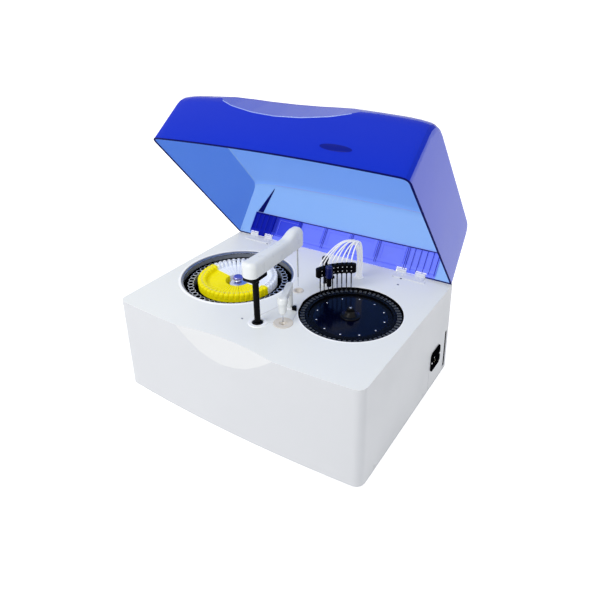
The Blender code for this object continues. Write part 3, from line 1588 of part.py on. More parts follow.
def pin_rod(name, radius, low, high, carrier, material=None):
    """A cylinder along X on the carrier's own axis."""
    return add(name, mesh_from(name, along_x(radius, low, high)), material, carrier)


def make_rail(carrier):
    """The dark ribbed rail along the foot of the lid's rear wall, with the lid's two knuckles."""
    inner = fit_gap
    outer = inner + rail_thickness
    rail = wall_block("lid_hinge_rail", (rail_left, inner, rail_low), (rail_right, outer, rail_high), carrier,
                      RAIL_BLUE)
    ribs = [rail_first_rib + index * rail_rib_pitch for index in range(rail_rib_count)]
    edges = [rail_left] + ribs + [rail_right]
    margin = rail_rib_width
    for first, second in zip(edges, edges[1:]):
        cut(rail, wall_block("rail_bay", (first + margin, outer - rail_bay_depth, rail_low + margin * 2),
                             (second - margin, outer + overrun, rail_high - margin), carrier))
    half = hinge_width * knuckle_share / 2 - running_gap
    for centre in hinge_places:
        knuckle = pin_rod("leaf_knuckle", knuckle_radius, centre - half, centre + half, carrier)
        leaf = wall_block("leaf", (centre - half, inner, -lid_rim()),
                          (centre + half, outer - rail_bay_depth, rail_low + rail_rib_width), carrier)
        arm = block("leaf_arm", (centre - half, -knuckle_radius - running_gap, -pin_radius),
                    (centre + half, 0.0, knuckle_radius - running_gap), None, carrier)
        join(rail, leaf, arm, knuckle)
        cut(rail, pin_rod("leaf_bore", pin_radius + fit_gap, centre - half - overrun, centre + half + overrun,
                          carrier))


def make_hinges(axis_y):
    """Two brackets on the deck and the pins that join them to the lid's knuckles."""
    axle = axis_empty("hinge_axle", (0.0, axis_y, deck_top + hinge_axis_height))
    for side, centre in zip(("left", "right"), hinge_places):
        make_bracket("hinge_bracket_" + side, centre, axle)
        low = centre - hinge_width / 2 - wall / 2
        pin_rod("hinge_pin_" + side, pin_radius, low, low + hinge_width + wall, axle, STEEL)


def make_bracket(name, centre, axle):
    """A bracket: a plate on the deck with two upright ears that end in knuckles, and four screws."""
    seat = fit_gap - hinge_axis_height
    plate_top = seat + leaf_thickness
    bracket = block(name, (centre - hinge_width / 2, -leaf_depth, seat),
                    (centre + hinge_width / 2, 0.0, plate_top), WHITE, axle)
    heads = []
    for side in (-1, 1):
        near = centre + side * (hinge_width * knuckle_share / 2 + running_gap)
        far = centre + side * hinge_width / 2
        low, high = min(near, far), max(near, far)
        ear = block("ear", (low, -pin_radius * 1.5, seat + leaf_thickness / 2),
                    (high, pin_radius * 1.5, 0.0), None, axle)
        join(bracket, ear, pin_rod("knuckle", knuckle_radius, low, high, axle))
        for share in bracket_screw_shares:
            heads.append(mesh_from("head", screw_head(screw_head_radius, plate_top,
                                                      (low + (high - low) * share, -leaf_depth * 0.6))))
    join(bracket, group_cutter("bracket_screws", heads, axle))
    low, high = centre - hinge_width, centre + hinge_width
    cut(bracket, pin_rod("hinge_bore", pin_radius + fit_gap, low, high, axle))


# Inside the case
supply_size = (0.110, 0.160, 0.050)
supply_side_inset = 0.110
supply_rear_inset = 0.195
supply_place = (case_width / 2 - supply_side_inset, case_depth / 2 - supply_rear_inset)
board_size = (0.260, 0.180, 0.0016)
board_rear_inset = 0.175
board_shift = -0.060
board_place = (board_shift, case_depth / 2 - board_rear_inset)
board_post_height = 0.012
board_post_radius = 0.004
pump_size = (0.120, 0.060, 0.070)
pump_front_inset = 0.125
pump_place = (board_shift, pump_front_inset - case_depth / 2)
pump_barrel_radius = 0.012
drive_size = (0.030, 0.030, 0.060)


def make_inside():
    """Power supply, control board, pump block and the lift drives."""
    floor = pan_top() + fit_gap
    box_on_pan("power_supply", supply_place, supply_size, floor, SHEET)
    pump = box_on_pan("pump_block", pump_place, pump_size, floor, ARM_WHITE)
    for side in (-1, 0, 1):
        place = (pump_place[0] + side * pump_size[0] / 3, pump_place[1])
        join(pump, rod("pump_barrel", pump_barrel_radius, floor + pump_size[2] - wall,
                       floor + pump_size[2] + pump_size[2] / 3, place))
    x, y = board_place
    low = floor + board_post_height
    board = block("control_board", (x - board_size[0] / 2, y - board_size[1] / 2, low),
                  (x + board_size[0] / 2, y + board_size[1] / 2, low + board_size[2]), BOARD_GREEN)
    for side_x in (-1, 1):
        for side_y in (-1, 1):
            place = (x + side_x * (board_size[0] / 2 - board_post_height),
                     y + side_y * (board_size[1] / 2 - board_post_height))
            join(board, rod("board_post", board_post_radius, floor, low + board_size[2] / 2, place,
                            sides=12))
    make_lift_drives()


def box_on_pan(name, place, size, floor, material):
    """A softened box standing on the pan."""
    half_x, half_y = size[0] / 2, size[1] / 2
    return block(name, (place[0] - half_x, place[1] - half_y, floor),
                 (place[0] + half_x, place[1] + half_y, floor + size[2]), material, radius=wall, steps=1)


def make_lift_drives():
    """The lift motors that hang from the deck, each beside its guide."""
    reach = guide_radius + running_gap + drive_size[0] / 2
    drives = (("probe_drive", probe_place, -math.pi / 2), ("mixer_drive", mixer_place, math.pi),
              ("wash_drive", wash_place(), math.pi / 2))
    for name, place, turn in drives:
        x, y = on_circle(place, reach, turn)
        top = deck_under - fit_gap
        block(name, (x - drive_size[0] / 2, y - drive_size[1] / 2, top - drive_size[2]),
              (x + drive_size[0] / 2, y + drive_size[1] / 2, top), SHEET)


def stand_on_origin():
    """Moves the assembly so that the middle of its box lies over the origin and its feet at zero."""
    bpy.context.view_layer.update()
    graph = bpy.context.evaluated_depsgraph_get()
    corners = []
    for thing in parts.objects:
        ready = thing.evaluated_get(graph)
        mesh = ready.to_mesh()
        corners += [ready.matrix_world @ vert.co for vert in mesh.vertices]
        ready.to_mesh_clear()
    low = [min(point[axis] for point in corners) for axis in range(3)]
    high = [max(point[axis] for point in corners) for axis in range(3)]
    stand.location = (-(low[0] + high[0]) / 2, -(low[1] + high[1]) / 2, -low[2])
    bpy.context.view_layer.update()
    return stand.location


make_case()
make_pan()
make_feet()
make_rear_panel()
make_rear_fittings()
make_fan()
make_inlet()
make_vent()
make_reagent_disc()
make_reaction_disc()
make_probe()
make_mixer()
make_wash_station()
make_lid()
make_inside()
shift = stand_on_origin()
print("stand moved by", tuple(round(value, 6) for value in shift))
for label, limit in (("probe over a cuvette", probe_low_angle()), ("probe over a bottle", probe_stop_angle()[0]),
                     ("mixer over a cuvette", mixer_stop_angle())):
    print(label, "at", round(math.degrees(limit), 3), "degrees")
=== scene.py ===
"""Studio picture of an open benchtop chemistry analyzer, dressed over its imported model."""

import json
import logging
import math
from collections.abc import Callable, Iterable
from dataclasses import dataclass, field
from enum import Enum

import bmesh
import bpy
from bmesh.types import BMEdge, BMesh, BMFace, BMVert
from mathutils import Matrix, Vector

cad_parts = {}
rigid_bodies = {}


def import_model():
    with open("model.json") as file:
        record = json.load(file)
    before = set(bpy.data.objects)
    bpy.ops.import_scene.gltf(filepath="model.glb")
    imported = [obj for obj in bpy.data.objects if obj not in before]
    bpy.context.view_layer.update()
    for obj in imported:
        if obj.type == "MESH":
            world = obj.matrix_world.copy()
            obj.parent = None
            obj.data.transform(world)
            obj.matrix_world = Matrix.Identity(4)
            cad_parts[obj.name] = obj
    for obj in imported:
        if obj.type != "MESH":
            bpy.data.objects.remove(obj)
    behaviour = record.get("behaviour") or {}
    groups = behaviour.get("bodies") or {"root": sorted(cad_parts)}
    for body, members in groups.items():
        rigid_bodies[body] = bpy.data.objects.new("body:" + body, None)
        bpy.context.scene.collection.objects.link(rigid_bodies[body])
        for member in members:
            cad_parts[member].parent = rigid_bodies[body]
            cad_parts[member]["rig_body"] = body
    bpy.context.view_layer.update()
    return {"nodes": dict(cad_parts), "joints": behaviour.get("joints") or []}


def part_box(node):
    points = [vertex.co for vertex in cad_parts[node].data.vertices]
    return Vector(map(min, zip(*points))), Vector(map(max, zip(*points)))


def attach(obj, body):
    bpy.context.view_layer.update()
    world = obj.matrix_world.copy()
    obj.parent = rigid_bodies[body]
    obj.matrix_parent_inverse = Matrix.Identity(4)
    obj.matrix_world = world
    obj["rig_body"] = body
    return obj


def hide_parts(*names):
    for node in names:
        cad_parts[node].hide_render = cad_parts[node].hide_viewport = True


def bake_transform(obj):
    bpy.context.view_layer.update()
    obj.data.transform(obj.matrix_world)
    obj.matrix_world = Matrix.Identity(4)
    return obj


for stray in list(bpy.data.objects):
    bpy.data.objects.remove(stray)
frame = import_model()

LOG = logging.getLogger("analyzer")
WELD = 1e-5
PLAIN_SMOOTH = math.radians(38)
SHELL_SMOOTH = math.radians(24)
SEAT_GAP = 0.0003

Colour = tuple[float, float, float]
Outline = list[tuple[float, float]]


# Places read from the frame

@dataclass(frozen=True)
class Box:
    """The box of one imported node, in metres."""

    low: Vector
    high: Vector

    @classmethod
    def of(cls, node: str) -> "Box":
        """Reads a node's box from the frame."""
        return cls(*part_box(node))

    @property
    def centre(self) -> Vector:
        """The middle of the box."""
        return (self.low + self.high) / 2

    @property
    def size(self) -> Vector:
        """The box's width, depth and height."""
        return self.high - self.low


def axis_of(joint: str) -> Vector:
    """The place of a joint's axis."""
    return Vector(next(row for row in frame["joints"] if row["name"] == joint)["pos_m"])


def at_level(place: Vector, level: float) -> Vector:
    """A place moved up or down to a level."""
    return Vector((place.x, place.y, level))


RIM_STEP = 0.001
DECK = Box.of("reagent_chamber").high.z + RIM_STEP


# Finishes

COAT_ROUGHNESS = 0.08
DRIFT_SHADE = 0.72
GLOSS_SWING = 0.18


class Texture(Enum):
    """How a surface is broken up: the stretch of its grain and the depth of its relief."""

    MOULDED = ((1.0, 1.0, 1.0), 0.00006)
    SATIN = ((1.0, 1.0, 1.0), 0.00003)
    BRUSHED = ((1.0, 1.0, 0.03), 0.00004)
    POWDER = ((1.0, 1.0, 1.0), 0.00012)
    CLEAR = ((1.0, 1.0, 0.4), 0.00002)

    @property
    def stretch(self) -> Colour:
        """The grain's stretch along X, Y and Z."""
        return self.value[0]

    @property
    def relief(self) -> float:
        """The depth of the grain in metres."""
        return self.value[1]


Steps = dict[str, tuple[str, dict[str, object]]]
Links = Iterable[tuple[str, int | str, str, int | str]]


def wire(tree: bpy.types.NodeTree, nodes: dict[str, bpy.types.Node], steps: Steps, links: Links) -> None:
    """Adds nodes to a tree and links them.

    Args:
        tree: the tree.
        nodes: the nodes that it has, by name, which the new ones join.
        steps: the kind of each new node, and its settings (in lower case) and inputs by name.
        links: a node and its output, then a node and its input, for each link.
    """
    for name, (kind, values) in steps.items():
        nodes[name] = tree.nodes.new("ShaderNode" + kind)
        for label, value in values.items():
            if label.islower():
                setattr(nodes[name], label, value)
            else:
                nodes[name].inputs[label].default_value = value
    for source, out, target, into in links:
        tree.links.new(nodes[source].outputs[out], nodes[target].inputs[into])


class Group(Enum):
    """The node groups that the finishes share: inputs, output, nodes with their settings, and links."""

    DRIFT = ({"Vector": "Vector", "Colour": "Color", "Shade": "Color", "Scale": "Float", "Amount": "Float"},
             ("Colour", "Color"),
             {"noise": ("TexNoise", {"Detail": 5.0}),
              "spread": ("MapRange", {"From Min": 0.35, "From Max": 0.65}),
              "share": ("Math", {"operation": "MULTIPLY"}), "mix": ("Mix", {"data_type": "RGBA"})},
             (("given", "Vector", "noise", "Vector"), ("given", "Scale", "noise", "Scale"),
              ("noise", 0, "spread", "Value"), ("spread", "Result", "share", 0),
              ("given", "Amount", "share", 1),
              ("share", "Value", "mix", 0), ("given", "Colour", "mix", 6), ("given", "Shade", "mix", 7),
              ("mix", 2, "result", "Colour")))
    GRAIN = ({"Vector": "Vector", "Stretch": "Vector", "Scale": "Float"}, ("Height", "Float"),
             {"pull": ("VectorMath", {"operation": "MULTIPLY"}),
              "noise": ("TexNoise", {"Detail": 3.0, "Roughness": 0.6})},
             (("given", "Vector", "pull", 0), ("given", "Stretch", "pull", 1),
              ("pull", "Vector", "noise", "Vector"),
              ("given", "Scale", "noise", "Scale"), ("noise", 0, "result", "Height")))
    RUBBED = ({"Vector": "Vector", "Scale": "Float", "Least": "Float", "Most": "Float"},
              ("Roughness", "Float"),
              {"noise": ("TexNoise", {"Detail": 6.0}),
               "spread": ("MapRange", {"From Min": 0.3, "From Max": 0.7})},
              (("given", "Vector", "noise", "Vector"), ("given", "Scale", "noise", "Scale"),
               ("noise", 0, "spread", "Value"), ("given", "Least", "spread", "To Min"),
               ("given", "Most", "spread", "To Max"), ("spread", "Result", "result", "Roughness")))
    FADE = ({"Vector": "Vector", "Low": "Color", "High": "Color", "From": "Float", "To": "Float"},
            ("Colour", "Color"),
            {"split": ("SeparateXYZ", {}), "spread": ("MapRange", {"interpolation_type": "SMOOTHSTEP"}),
             "mix": ("Mix", {"data_type": "RGBA"})},
            (("given", "Vector", "split", "Vector"), ("split", "Z", "spread", "Value"),
             ("given", "From", "spread", "From Min"), ("given", "To", "spread", "From Max"),
             ("spread", "Result", "mix", 0), ("given", "Low", "mix", 6), ("given", "High", "mix", 7),
             ("mix", 2, "result", "Colour")))

    def tree(self) -> bpy.types.NodeTree:
        """The group's node tree, made once.

        Returns:
            The tree.
        """
        name = "finish_" + self.name.lower()
        if name in bpy.data.node_groups:
            return bpy.data.node_groups[name]
        inputs, output, steps, links = self.value
        tree = bpy.data.node_groups.new(name, "ShaderNodeTree")
        for label, kind in inputs.items():
            tree.interface.new_socket(label, in_out="INPUT", socket_type="NodeSocket" + kind)
        tree.interface.new_socket(output[0], in_out="OUTPUT", socket_type="NodeSocket" + output[1])
        nodes = {"given": tree.nodes.new("NodeGroupInput"), "result": tree.nodes.new("NodeGroupOutput")}
        wire(tree, nodes, steps, links)
        return tree

    def add_to(self, tree: bpy.types.NodeTree, **values: object) -> bpy.types.Node:
        """Places the group in a material.

        Args:
            tree: the material's tree.
            values: the group's plain inputs.

        Returns:
            The group's node.
        """
        node = tree.nodes.new("ShaderNodeGroup")
        node.node_tree = self.tree()
        for label, value in values.items():
            node.inputs[label].default_value = value
        return node


def any_ray(tree: bpy.types.NodeTree, *names: str) -> bpy.types.NodeSocket:
    """A mask of rays.

    Args:
        tree: the tree that it stands in.
        names: the rays.

    Returns:
        A socket that is 1 where any of the rays is.
    """
    rays = tree.nodes.new("ShaderNodeLightPath").outputs
    found = rays[names[0]]
    for name in names[1:]:
        larger = tree.nodes.new("ShaderNodeMath")
        larger.operation = "MAXIMUM"
        tree.links.new(found, larger.inputs[0])
        tree.links.new(rays[name], larger.inputs[1])
        found = larger.outputs[0]
    return found


@dataclass(frozen=True)
class Finish:
    """One surface finish.

    Attributes:
        name: the finish in a maker's words.
        colour: its linear colour.
        roughness: its mean roughness.
        texture: how it is broken up.
        metallic: 1 for bare metal.
        coat: the weight of a clear coat.
        alpha: 1 where nothing shows through.
        high: the colour that it fades to at the upper level, or None.
        levels: the lower and upper level of the fade.
        specular: the strength of its mirror reflection.
        glow: painted light, an emission as a share of its colour that stands in for light coming through it.
        drift: how far the colour wanders.
        drift_scale: how often it wanders, per metre.
        grain_scale: the grain's scale, per metre.
        relief: the strength of the grain.
        shade: the share of the light that it keeps off what lies behind, or None for all that alpha stops.
    """

    name: str
    colour: Colour
    roughness: float
    texture: Texture = Texture.MOULDED
    metallic: float = 0.0
    coat: float = 0.0
    alpha: float = 1.0
    high: Colour | None = None
    levels: tuple[float, float] = (0.0, 1.0)
    specular: float = 0.4
    glow: float = 0.0
    drift: float = 0.10
    drift_scale: float = 14.0
    grain_scale: float = 900.0
    relief: float = 0.25
    shade: float | None = None

    def material(self) -> bpy.types.Material:
        """The finish as a material, made once.

        Returns:
            The material.
        """
        found = bpy.data.materials.get(self.name)
        if found:
            return found
        made = bpy.data.materials.new(self.name)
        made.use_nodes = True
        tree = made.node_tree
        links = tree.links
        shader = tree.nodes["Principled BSDF"]
        plain = {"Metallic": self.metallic, "Coat Weight": self.coat, "Coat Roughness": COAT_ROUGHNESS,
                 "Alpha": self.alpha, "Specular IOR Level": self.specular}
        for label, value in plain.items():
            shader.inputs[label].default_value = value
        nodes = {"shader": shader}
        if self.shade is not None:
            wire(tree, nodes, {"cover": ("MapRange", {"To Min": self.alpha, "To Max": self.shade})},
                 (("cover", "Result", "shader", "Alpha"),))
            links.new(any_ray(tree, "Is Shadow Ray", "Is Diffuse Ray"), nodes["cover"].inputs["Value"])
        # Painted light: the glow is an emission in the finish's own colour, though nothing here is a lamp.
        if self.glow:
            shader.inputs["Emission Color"].default_value = (*self.colour, 1.0)
            shader.inputs["Emission Strength"].default_value = self.glow
        place = tree.nodes.new("ShaderNodeTexCoord").outputs["Object"]
        shaded = tuple(part * DRIFT_SHADE for part in self.colour)
        drift = Group.DRIFT.add_to(tree, Colour=(*self.colour, 1.0), Shade=(*shaded, 1.0),
                                   Scale=self.drift_scale, Amount=self.drift)
        if self.high:
            fade = Group.FADE.add_to(tree, Low=(*self.colour, 1.0), High=(*self.high, 1.0),
                                     From=self.levels[0], To=self.levels[1])
            links.new(place, fade.inputs["Vector"])
            links.new(fade.outputs["Colour"], drift.inputs["Colour"])
        swing = self.roughness * GLOSS_SWING
        gloss = Group.RUBBED.add_to(tree, Scale=self.drift_scale * 3, Least=self.roughness - swing,
                                    Most=self.roughness + swing)
        grain = Group.GRAIN.add_to(tree, Stretch=self.texture.stretch, Scale=self.grain_scale)
        for node in (drift, gloss, grain):
            links.new(place, node.inputs["Vector"])
        nodes.update(drift=drift, gloss=gloss, grain=grain)
        wire(tree, nodes, {"bump": ("Bump", {"Strength": self.relief, "Distance": self.texture.relief})},
             (("drift", "Colour", "shader", "Base Color"), ("gloss", "Roughness", "shader", "Roughness"),
              ("grain", "Height", "bump", "Height"), ("bump", "Normal", "shader", "Normal")))
        return made


LID_TOP = Box.of("lid_shell").high.z

WHITE = Finish("white_moulding", (0.75, 0.755, 0.77), 0.38, specular=0.3, drift=0.05, drift_scale=5.0)
# Painted light: the facet and the deck are lighter copies of the cover's white, for the light that falls on
# them.
FACET_WHITE_PAINTED_LIGHT = Finish("white_facet_painted_light", (0.81, 0.81, 0.81), 0.38, specular=0.3, drift=0.03, drift_scale=5.0)
DECK_WHITE_PAINTED_LIGHT = Finish("white_deck_painted_light", (0.90, 0.92, 0.92), 0.36, specular=0.3, drift=0.04, drift_scale=5.0)
# Painted light: the trim white glows faintly.
TRIM_WHITE = Finish("white_trim_painted_glow", (0.95, 0.96, 0.98), 0.24, coat=0.3, glow=0.06, drift=0.03)
SEAM = Finish("white_seam", (0.45, 0.45, 0.47), 0.5, drift=0.1)
ARM_WHITE = Finish("white_arm_moulding", (0.86, 0.88, 0.88), 0.30, coat=0.25, drift=0.05)
HINGE_WHITE = Finish("white_powder_coat", (0.84, 0.86, 0.90), 0.42, Texture.POWDER, relief=0.5)
BLACK = Finish("black_moulding", (0.003, 0.003, 0.004), 0.26, specular=0.05, drift=0.3)
GLOSS_BLACK = Finish("black_gloss", (0.003, 0.003, 0.004), 0.20, specular=0.14, drift=0.2)
SOFT_BLACK = Finish("soft_black", (0.002, 0.002, 0.003), 0.50, specular=0.0, drift=0.3)
RUBBER = Finish("foot_rubber", (0.020, 0.020, 0.021), 0.80, Texture.POWDER, drift=0.3, relief=0.8)
NAVY = Finish("navy_gloss", (0.0003, 0.0010, 0.010), 0.14, specular=0.10, drift=0.25)
CAP_BLUE = Finish("cap_blue", (0.004, 0.010, 0.10), 0.22, specular=0.3, drift=0.2)
STEEL = Finish("bright_steel", (0.66, 0.67, 0.70), 0.24, Texture.BRUSHED, metallic=1.0, drift=0.12)
DARK_STEEL = Finish("dark_steel", (0.24, 0.26, 0.31), 0.34, Texture.BRUSHED, metallic=0.9, drift=0.2)
DARK_NEEDLE = Finish("dark_needle", (0.035, 0.038, 0.05), 0.30, Texture.BRUSHED, metallic=0.6, drift=0.2)
SHEET = Finish("sheet_grey", (0.42, 0.43, 0.46), 0.42, Texture.POWDER, metallic=0.5, drift=0.12)
CHAMBER = Finish("grey_chamber", (0.40, 0.43, 0.49), 0.40, Texture.SATIN, metallic=0.3, drift=0.25)
# Painted light: the bottles glow in their own colours.
YELLOW = Finish("yellow_bottle", (0.90, 0.80, 0.003), 0.42, Texture.SATIN, specular=0.12, glow=0.14,
                drift=0.16, drift_scale=40.0)
BOTTLE_WHITE = Finish("white_bottle", (0.80, 0.84, 0.93), 0.36, Texture.SATIN, specular=0.3, glow=0.14,
                      drift=0.10, drift_scale=40.0)
VIOLET = Finish("violet_knob", (0.20, 0.20, 0.62), 0.16, Texture.BRUSHED, metallic=0.6, coat=0.6, drift=0.15)
SILVER_BLUE = Finish("silver_blue", (0.52, 0.56, 0.76), 0.20, Texture.BRUSHED, metallic=0.85, drift=0.15)
# Partly painted sheen: the clear cups take a light silvery colour for their highlights.
CUP = Finish("clear_cup_painted_sheen", (0.66, 0.71, 0.82), 0.16, Texture.CLEAR, metallic=0.35, coat=0.5, drift=0.5,
             drift_scale=160.0)
CUVETTE = Finish("clear_cuvette", (0.20, 0.22, 0.26), 0.14, Texture.CLEAR, coat=0.2, alpha=0.80, drift=0.6,
                 drift_scale=60.0)
IVORY = Finish("ivory_well", (0.74, 0.69, 0.62), 0.40, Texture.SATIN, drift=0.12)
# Painted light: the tubes glow faintly.
TUBE = Finish("white_soft_tube_painted_glow", (0.92, 0.93, 0.95), 0.40, Texture.CLEAR, specular=0.3, glow=0.12, drift=0.05)
BOARD = Finish("board_green", (0.02, 0.12, 0.05), 0.40, Texture.SATIN, drift=0.3, drift_scale=120.0)
PIN = Finish("plated_pin", (0.70, 0.62, 0.42), 0.22, Texture.BRUSHED, metallic=1.0)

LID_LOOK = {"texture": Texture.CLEAR, "drift_scale": 4.0, "shade": 0.10}
# Painted light: the lid is one translucent blue plastic, coloured by face kind for how light comes through
# and falls on it: lighter sides and rear, lighter insides that glow, and the front, the sides and the inside
# of the front and top fading with height.
LID_FRONT = Finish("lid_front_painted_light", (0.002, 0.022, 0.56), 0.14, alpha=0.97,
                   high=(0.012, 0.030, 0.56), levels=(LID_TOP - 0.12, LID_TOP), specular=0.03, drift=0.10,
                   **LID_LOOK)
LID_TOP_SKIN = Finish("lid_top_painted_light", (0.040, 0.055, 0.55), 0.14, alpha=0.86, specular=0.15,
                      drift=0.12, **LID_LOOK)
LID_SIDE = Finish("lid_side_painted_light", (0.085, 0.115, 0.70), 0.20, alpha=0.92,
                  high=(0.115, 0.145, 0.78), levels=(DECK, LID_TOP), specular=0.15, drift=0.10, **LID_LOOK)
LID_REAR = Finish("lid_rear_painted_light", (0.10, 0.22, 0.85), 0.16, alpha=0.80, specular=0.2,
                  glow=0.1, drift=0.08, **LID_LOOK)
LID_INSIDE = Finish("lid_inside_painted_light", (0.17, 0.35, 0.80), 0.18, alpha=0.92,
                    high=(0.11, 0.27, 0.75), levels=(DECK + 0.08, LID_TOP - 0.06), specular=0.08, glow=0.38,
                    drift=0.08, **LID_LOOK)
LID_INSIDE_SIDE = Finish("lid_inside_side_painted_light", (0.085, 0.225, 0.72), 0.18, alpha=0.92,
                         specular=0.08, glow=0.34, drift=0.08, **LID_LOOK)
LID_INSIDE_REAR = Finish("lid_inside_rear_painted_light", (0.22, 0.42, 0.82), 0.22, alpha=0.90,
                         specular=0.08, glow=0.20, drift=0.05, **LID_LOOK)
LID_RIM = Finish("lid_rim_dark", (0.002, 0.004, 0.12), 0.40, Texture.CLEAR, specular=0.02)
# Painted highlight: a light bead for the glints along the lid's edges.
LID_PAINTED_HIGHLIGHT = Finish("lid_painted_highlight", (0.32, 0.42, 0.90), 0.12, Texture.CLEAR)
LID_MARK = Finish("lid_dark_oval", (0.002, 0.010, 0.26), 0.20, Texture.CLEAR, specular=0.08)
# Painted light: the rail is one blue plastic that glows, with a painted shade at its left end and a painted
# half shade beside it; its frames glow too.
RAIL = Finish("rail_ultramarine_painted_glow", (0.14, 0.19, 0.86), 0.20, Texture.CLEAR, alpha=0.96, specular=0.10,
              glow=0.3,
              drift=0.45, drift_scale=9.0)
RAIL_PAINTED_SHADE = Finish("rail_painted_shade", (0.006, 0.014, 0.44), 0.20, Texture.CLEAR, specular=0.05, drift=0.3)
RAIL_PAINTED_HALF_SHADE = Finish("rail_painted_half_shade", (0.045, 0.070, 0.72), 0.20, Texture.CLEAR, specular=0.05, glow=0.10,
                  drift=0.3)
RAIL_RIB = Finish("rail_rib_dark", (0.020, 0.030, 0.46), 0.20, Texture.CLEAR, specular=0.1)
RAIL_EDGE = Finish("rail_frame_painted_glow", (0.17, 0.20, 0.86), 0.16, Texture.CLEAR, specular=0.2, glow=0.25)


# Shapes

def eased(corners: Iterable[tuple[float, ...]], steps: int = 4) -> Outline:
    """Rounds the corners of an outline.

    Args:
        corners: the x and y of each corner in order, and its radius where it is round.
        steps: how many chords round off a corner.

    Returns:
        The outline's points.
    """
    known = list(corners)
    made: Outline = []
    for index, (x, y, *given) in enumerate(known):
        here = Vector((x, y))
        radius = given[0] if given else 0.0
        if radius <= 0:
            made.append((x, y))
            continue
        before = Vector(known[index - 1][:2]) - here
        after = Vector(known[(index + 1) % len(known)][:2]) - here
        half = before.angle(after) / 2
        reach = min(radius / math.tan(half), before.length * 0.49, after.length * 0.49)
        middle = here + (before.normalized() + after.normalized()).normalized() * (reach / math.cos(half))
        start = here + before.normalized() * reach - middle
        turn = -start.angle_signed(here + after.normalized() * reach - middle)
        made += [tuple(middle + Matrix.Rotation(turn * step / steps, 2) @ start) for step in range(steps + 1)]
    return made


def turned(profile: Outline, centre: Vector = Vector(), steps: int = 64) -> BMesh:
    """Spins a profile about an upright axis.

    Args:
        profile: the radius and height of each point; a ring ends where it starts.
        centre: where the axis stands; the heights count from its z.
        steps: how many steps make the full turn.

    Returns:
        The shape.
    """
    shape = bmesh.new()
    verts = [shape.verts.new((radius, 0.0, height)) for radius, height in profile]
    edges = [shape.edges.new(pair) for pair in zip(verts, verts[1:])]
    bmesh.ops.spin(shape, geom=verts + edges, cent=(0, 0, 0), axis=(0, 0, 1), angle=math.tau, steps=steps,
                   use_merge=True)
    bmesh.ops.remove_doubles(shape, verts=shape.verts, dist=WELD)
    bmesh.ops.recalc_face_normals(shape, faces=shape.faces)
    bmesh.ops.translate(shape, verts=shape.verts, vec=centre)
    return shape


def ring(corners: Iterable[tuple[float, ...]], centre: Vector, steps: int = 96) -> BMesh:
    """Spins a closed section with rounded corners."""
    section = eased(corners, 3)
    return turned(section + section[:1], centre, steps)


def soften(shape: BMesh, radius: float, segments: int = 3, least: float = math.radians(30)) -> BMesh:
    """Rounds the sharp edges of a shape.

    Args:
        shape: the shape, which is changed.
        radius: the width of the bevel.
        segments: its segments.
        least: the least angle of a sharp edge.

    Returns:
        The same shape.
    """
    shape.normal_update()
    edges = [edge for edge in shape.edges if len(edge.link_faces) == 2 and edge.calc_face_angle(0.0) > least]
    bmesh.ops.bevel(shape, geom=edges, offset=radius, offset_type="OFFSET", segments=segments, profile=0.5,
                    affect="EDGES", material=-1, clamp_overlap=True)
    return shape


def slab(outline: Outline, low: float, high: float) -> BMesh:
    """A plan outline raised from one level to another.

    Args:
        outline: its plan.
        low: its lower level.
        high: its upper level.

    Returns:
        The slab.
    """
    shape = bmesh.new()
    face = shape.faces.new([shape.verts.new((x, y, low)) for x, y in outline])
    grown(shape, [face], (0.0, 0.0, high - low))
    bmesh.ops.recalc_face_normals(shape, faces=shape.faces)
    return shape


def block(low: Iterable[float], high: Iterable[float], radius: float = 0.0, segments: int = 2) -> BMesh:
    """A box between two corners, with rounded edges.

    Args:
        low: its low corner.
        high: its high corner.
        radius: the width of its bevels.
        segments: their segments.

    Returns:
        The box.
    """
    low, high = Vector(low), Vector(high)
    shape = bmesh.new()
    stretch = Matrix.Diagonal((*(high - low), 1.0))
    bmesh.ops.create_cube(shape, size=1.0, matrix=Matrix.Translation((low + high) / 2) @ stretch)
    return soften(shape, radius, segments) if radius else shape


def rod(radius: float, start: Iterable[float], end: Iterable[float], sides: int = 20,
        tip: float | None = None) -> BMesh:
    """A round bar from one point to another, which may taper to a tip.

    Args:
        radius: its radius.
        start: where it starts.
        end: where it ends.
        sides: how many sides it has.
        tip: its radius at the end, if it tapers.

    Returns:
        The bar.
    """
    start, end = Vector(start), Vector(end)
    along = end - start
    shape = bmesh.new()
    turn = along.to_track_quat("Z", "Y").to_matrix().to_4x4()
    bmesh.ops.create_cone(shape, cap_ends=True, segments=sides, radius1=radius,
                          radius2=radius if tip is None else tip, depth=along.length,
                          matrix=Matrix.Translation((start + end) / 2) @ turn)
    return shape


def piped(points: Iterable[Vector], radius: float, resolution: int = 2, closed: bool = False) -> BMesh:
    """A round wire along points.

    Args:
        points: the wire's points.
        radius: its radius.
        resolution: how round it is.
        closed: whether it ends where it starts.

    Returns:
        The wire.
    """
    curve = bpy.data.curves.new("wire", "CURVE")
    curve.dimensions = "3D"
    curve.bevel_depth = radius
    curve.bevel_resolution = resolution
    curve.use_fill_caps = not closed
    spline = curve.splines.new("POLY")
    route = list(points)
    spline.points.add(len(route) - 1)
    for knot, point in zip(spline.points, route):
        knot.co = (*point, 1.0)
    spline.use_cyclic_u = closed
    carrier = bpy.data.objects.new("wire", curve)
    mesh = bpy.data.meshes.new_from_object(carrier)
    bpy.data.objects.remove(carrier)
    shape = bmesh.new()
    shape.from_mesh(mesh)
    bpy.data.meshes.remove(mesh)
    bmesh.ops.remove_doubles(shape, verts=shape.verts, dist=WELD)
    bmesh.ops.recalc_face_normals(shape, faces=shape.faces)
    return shape


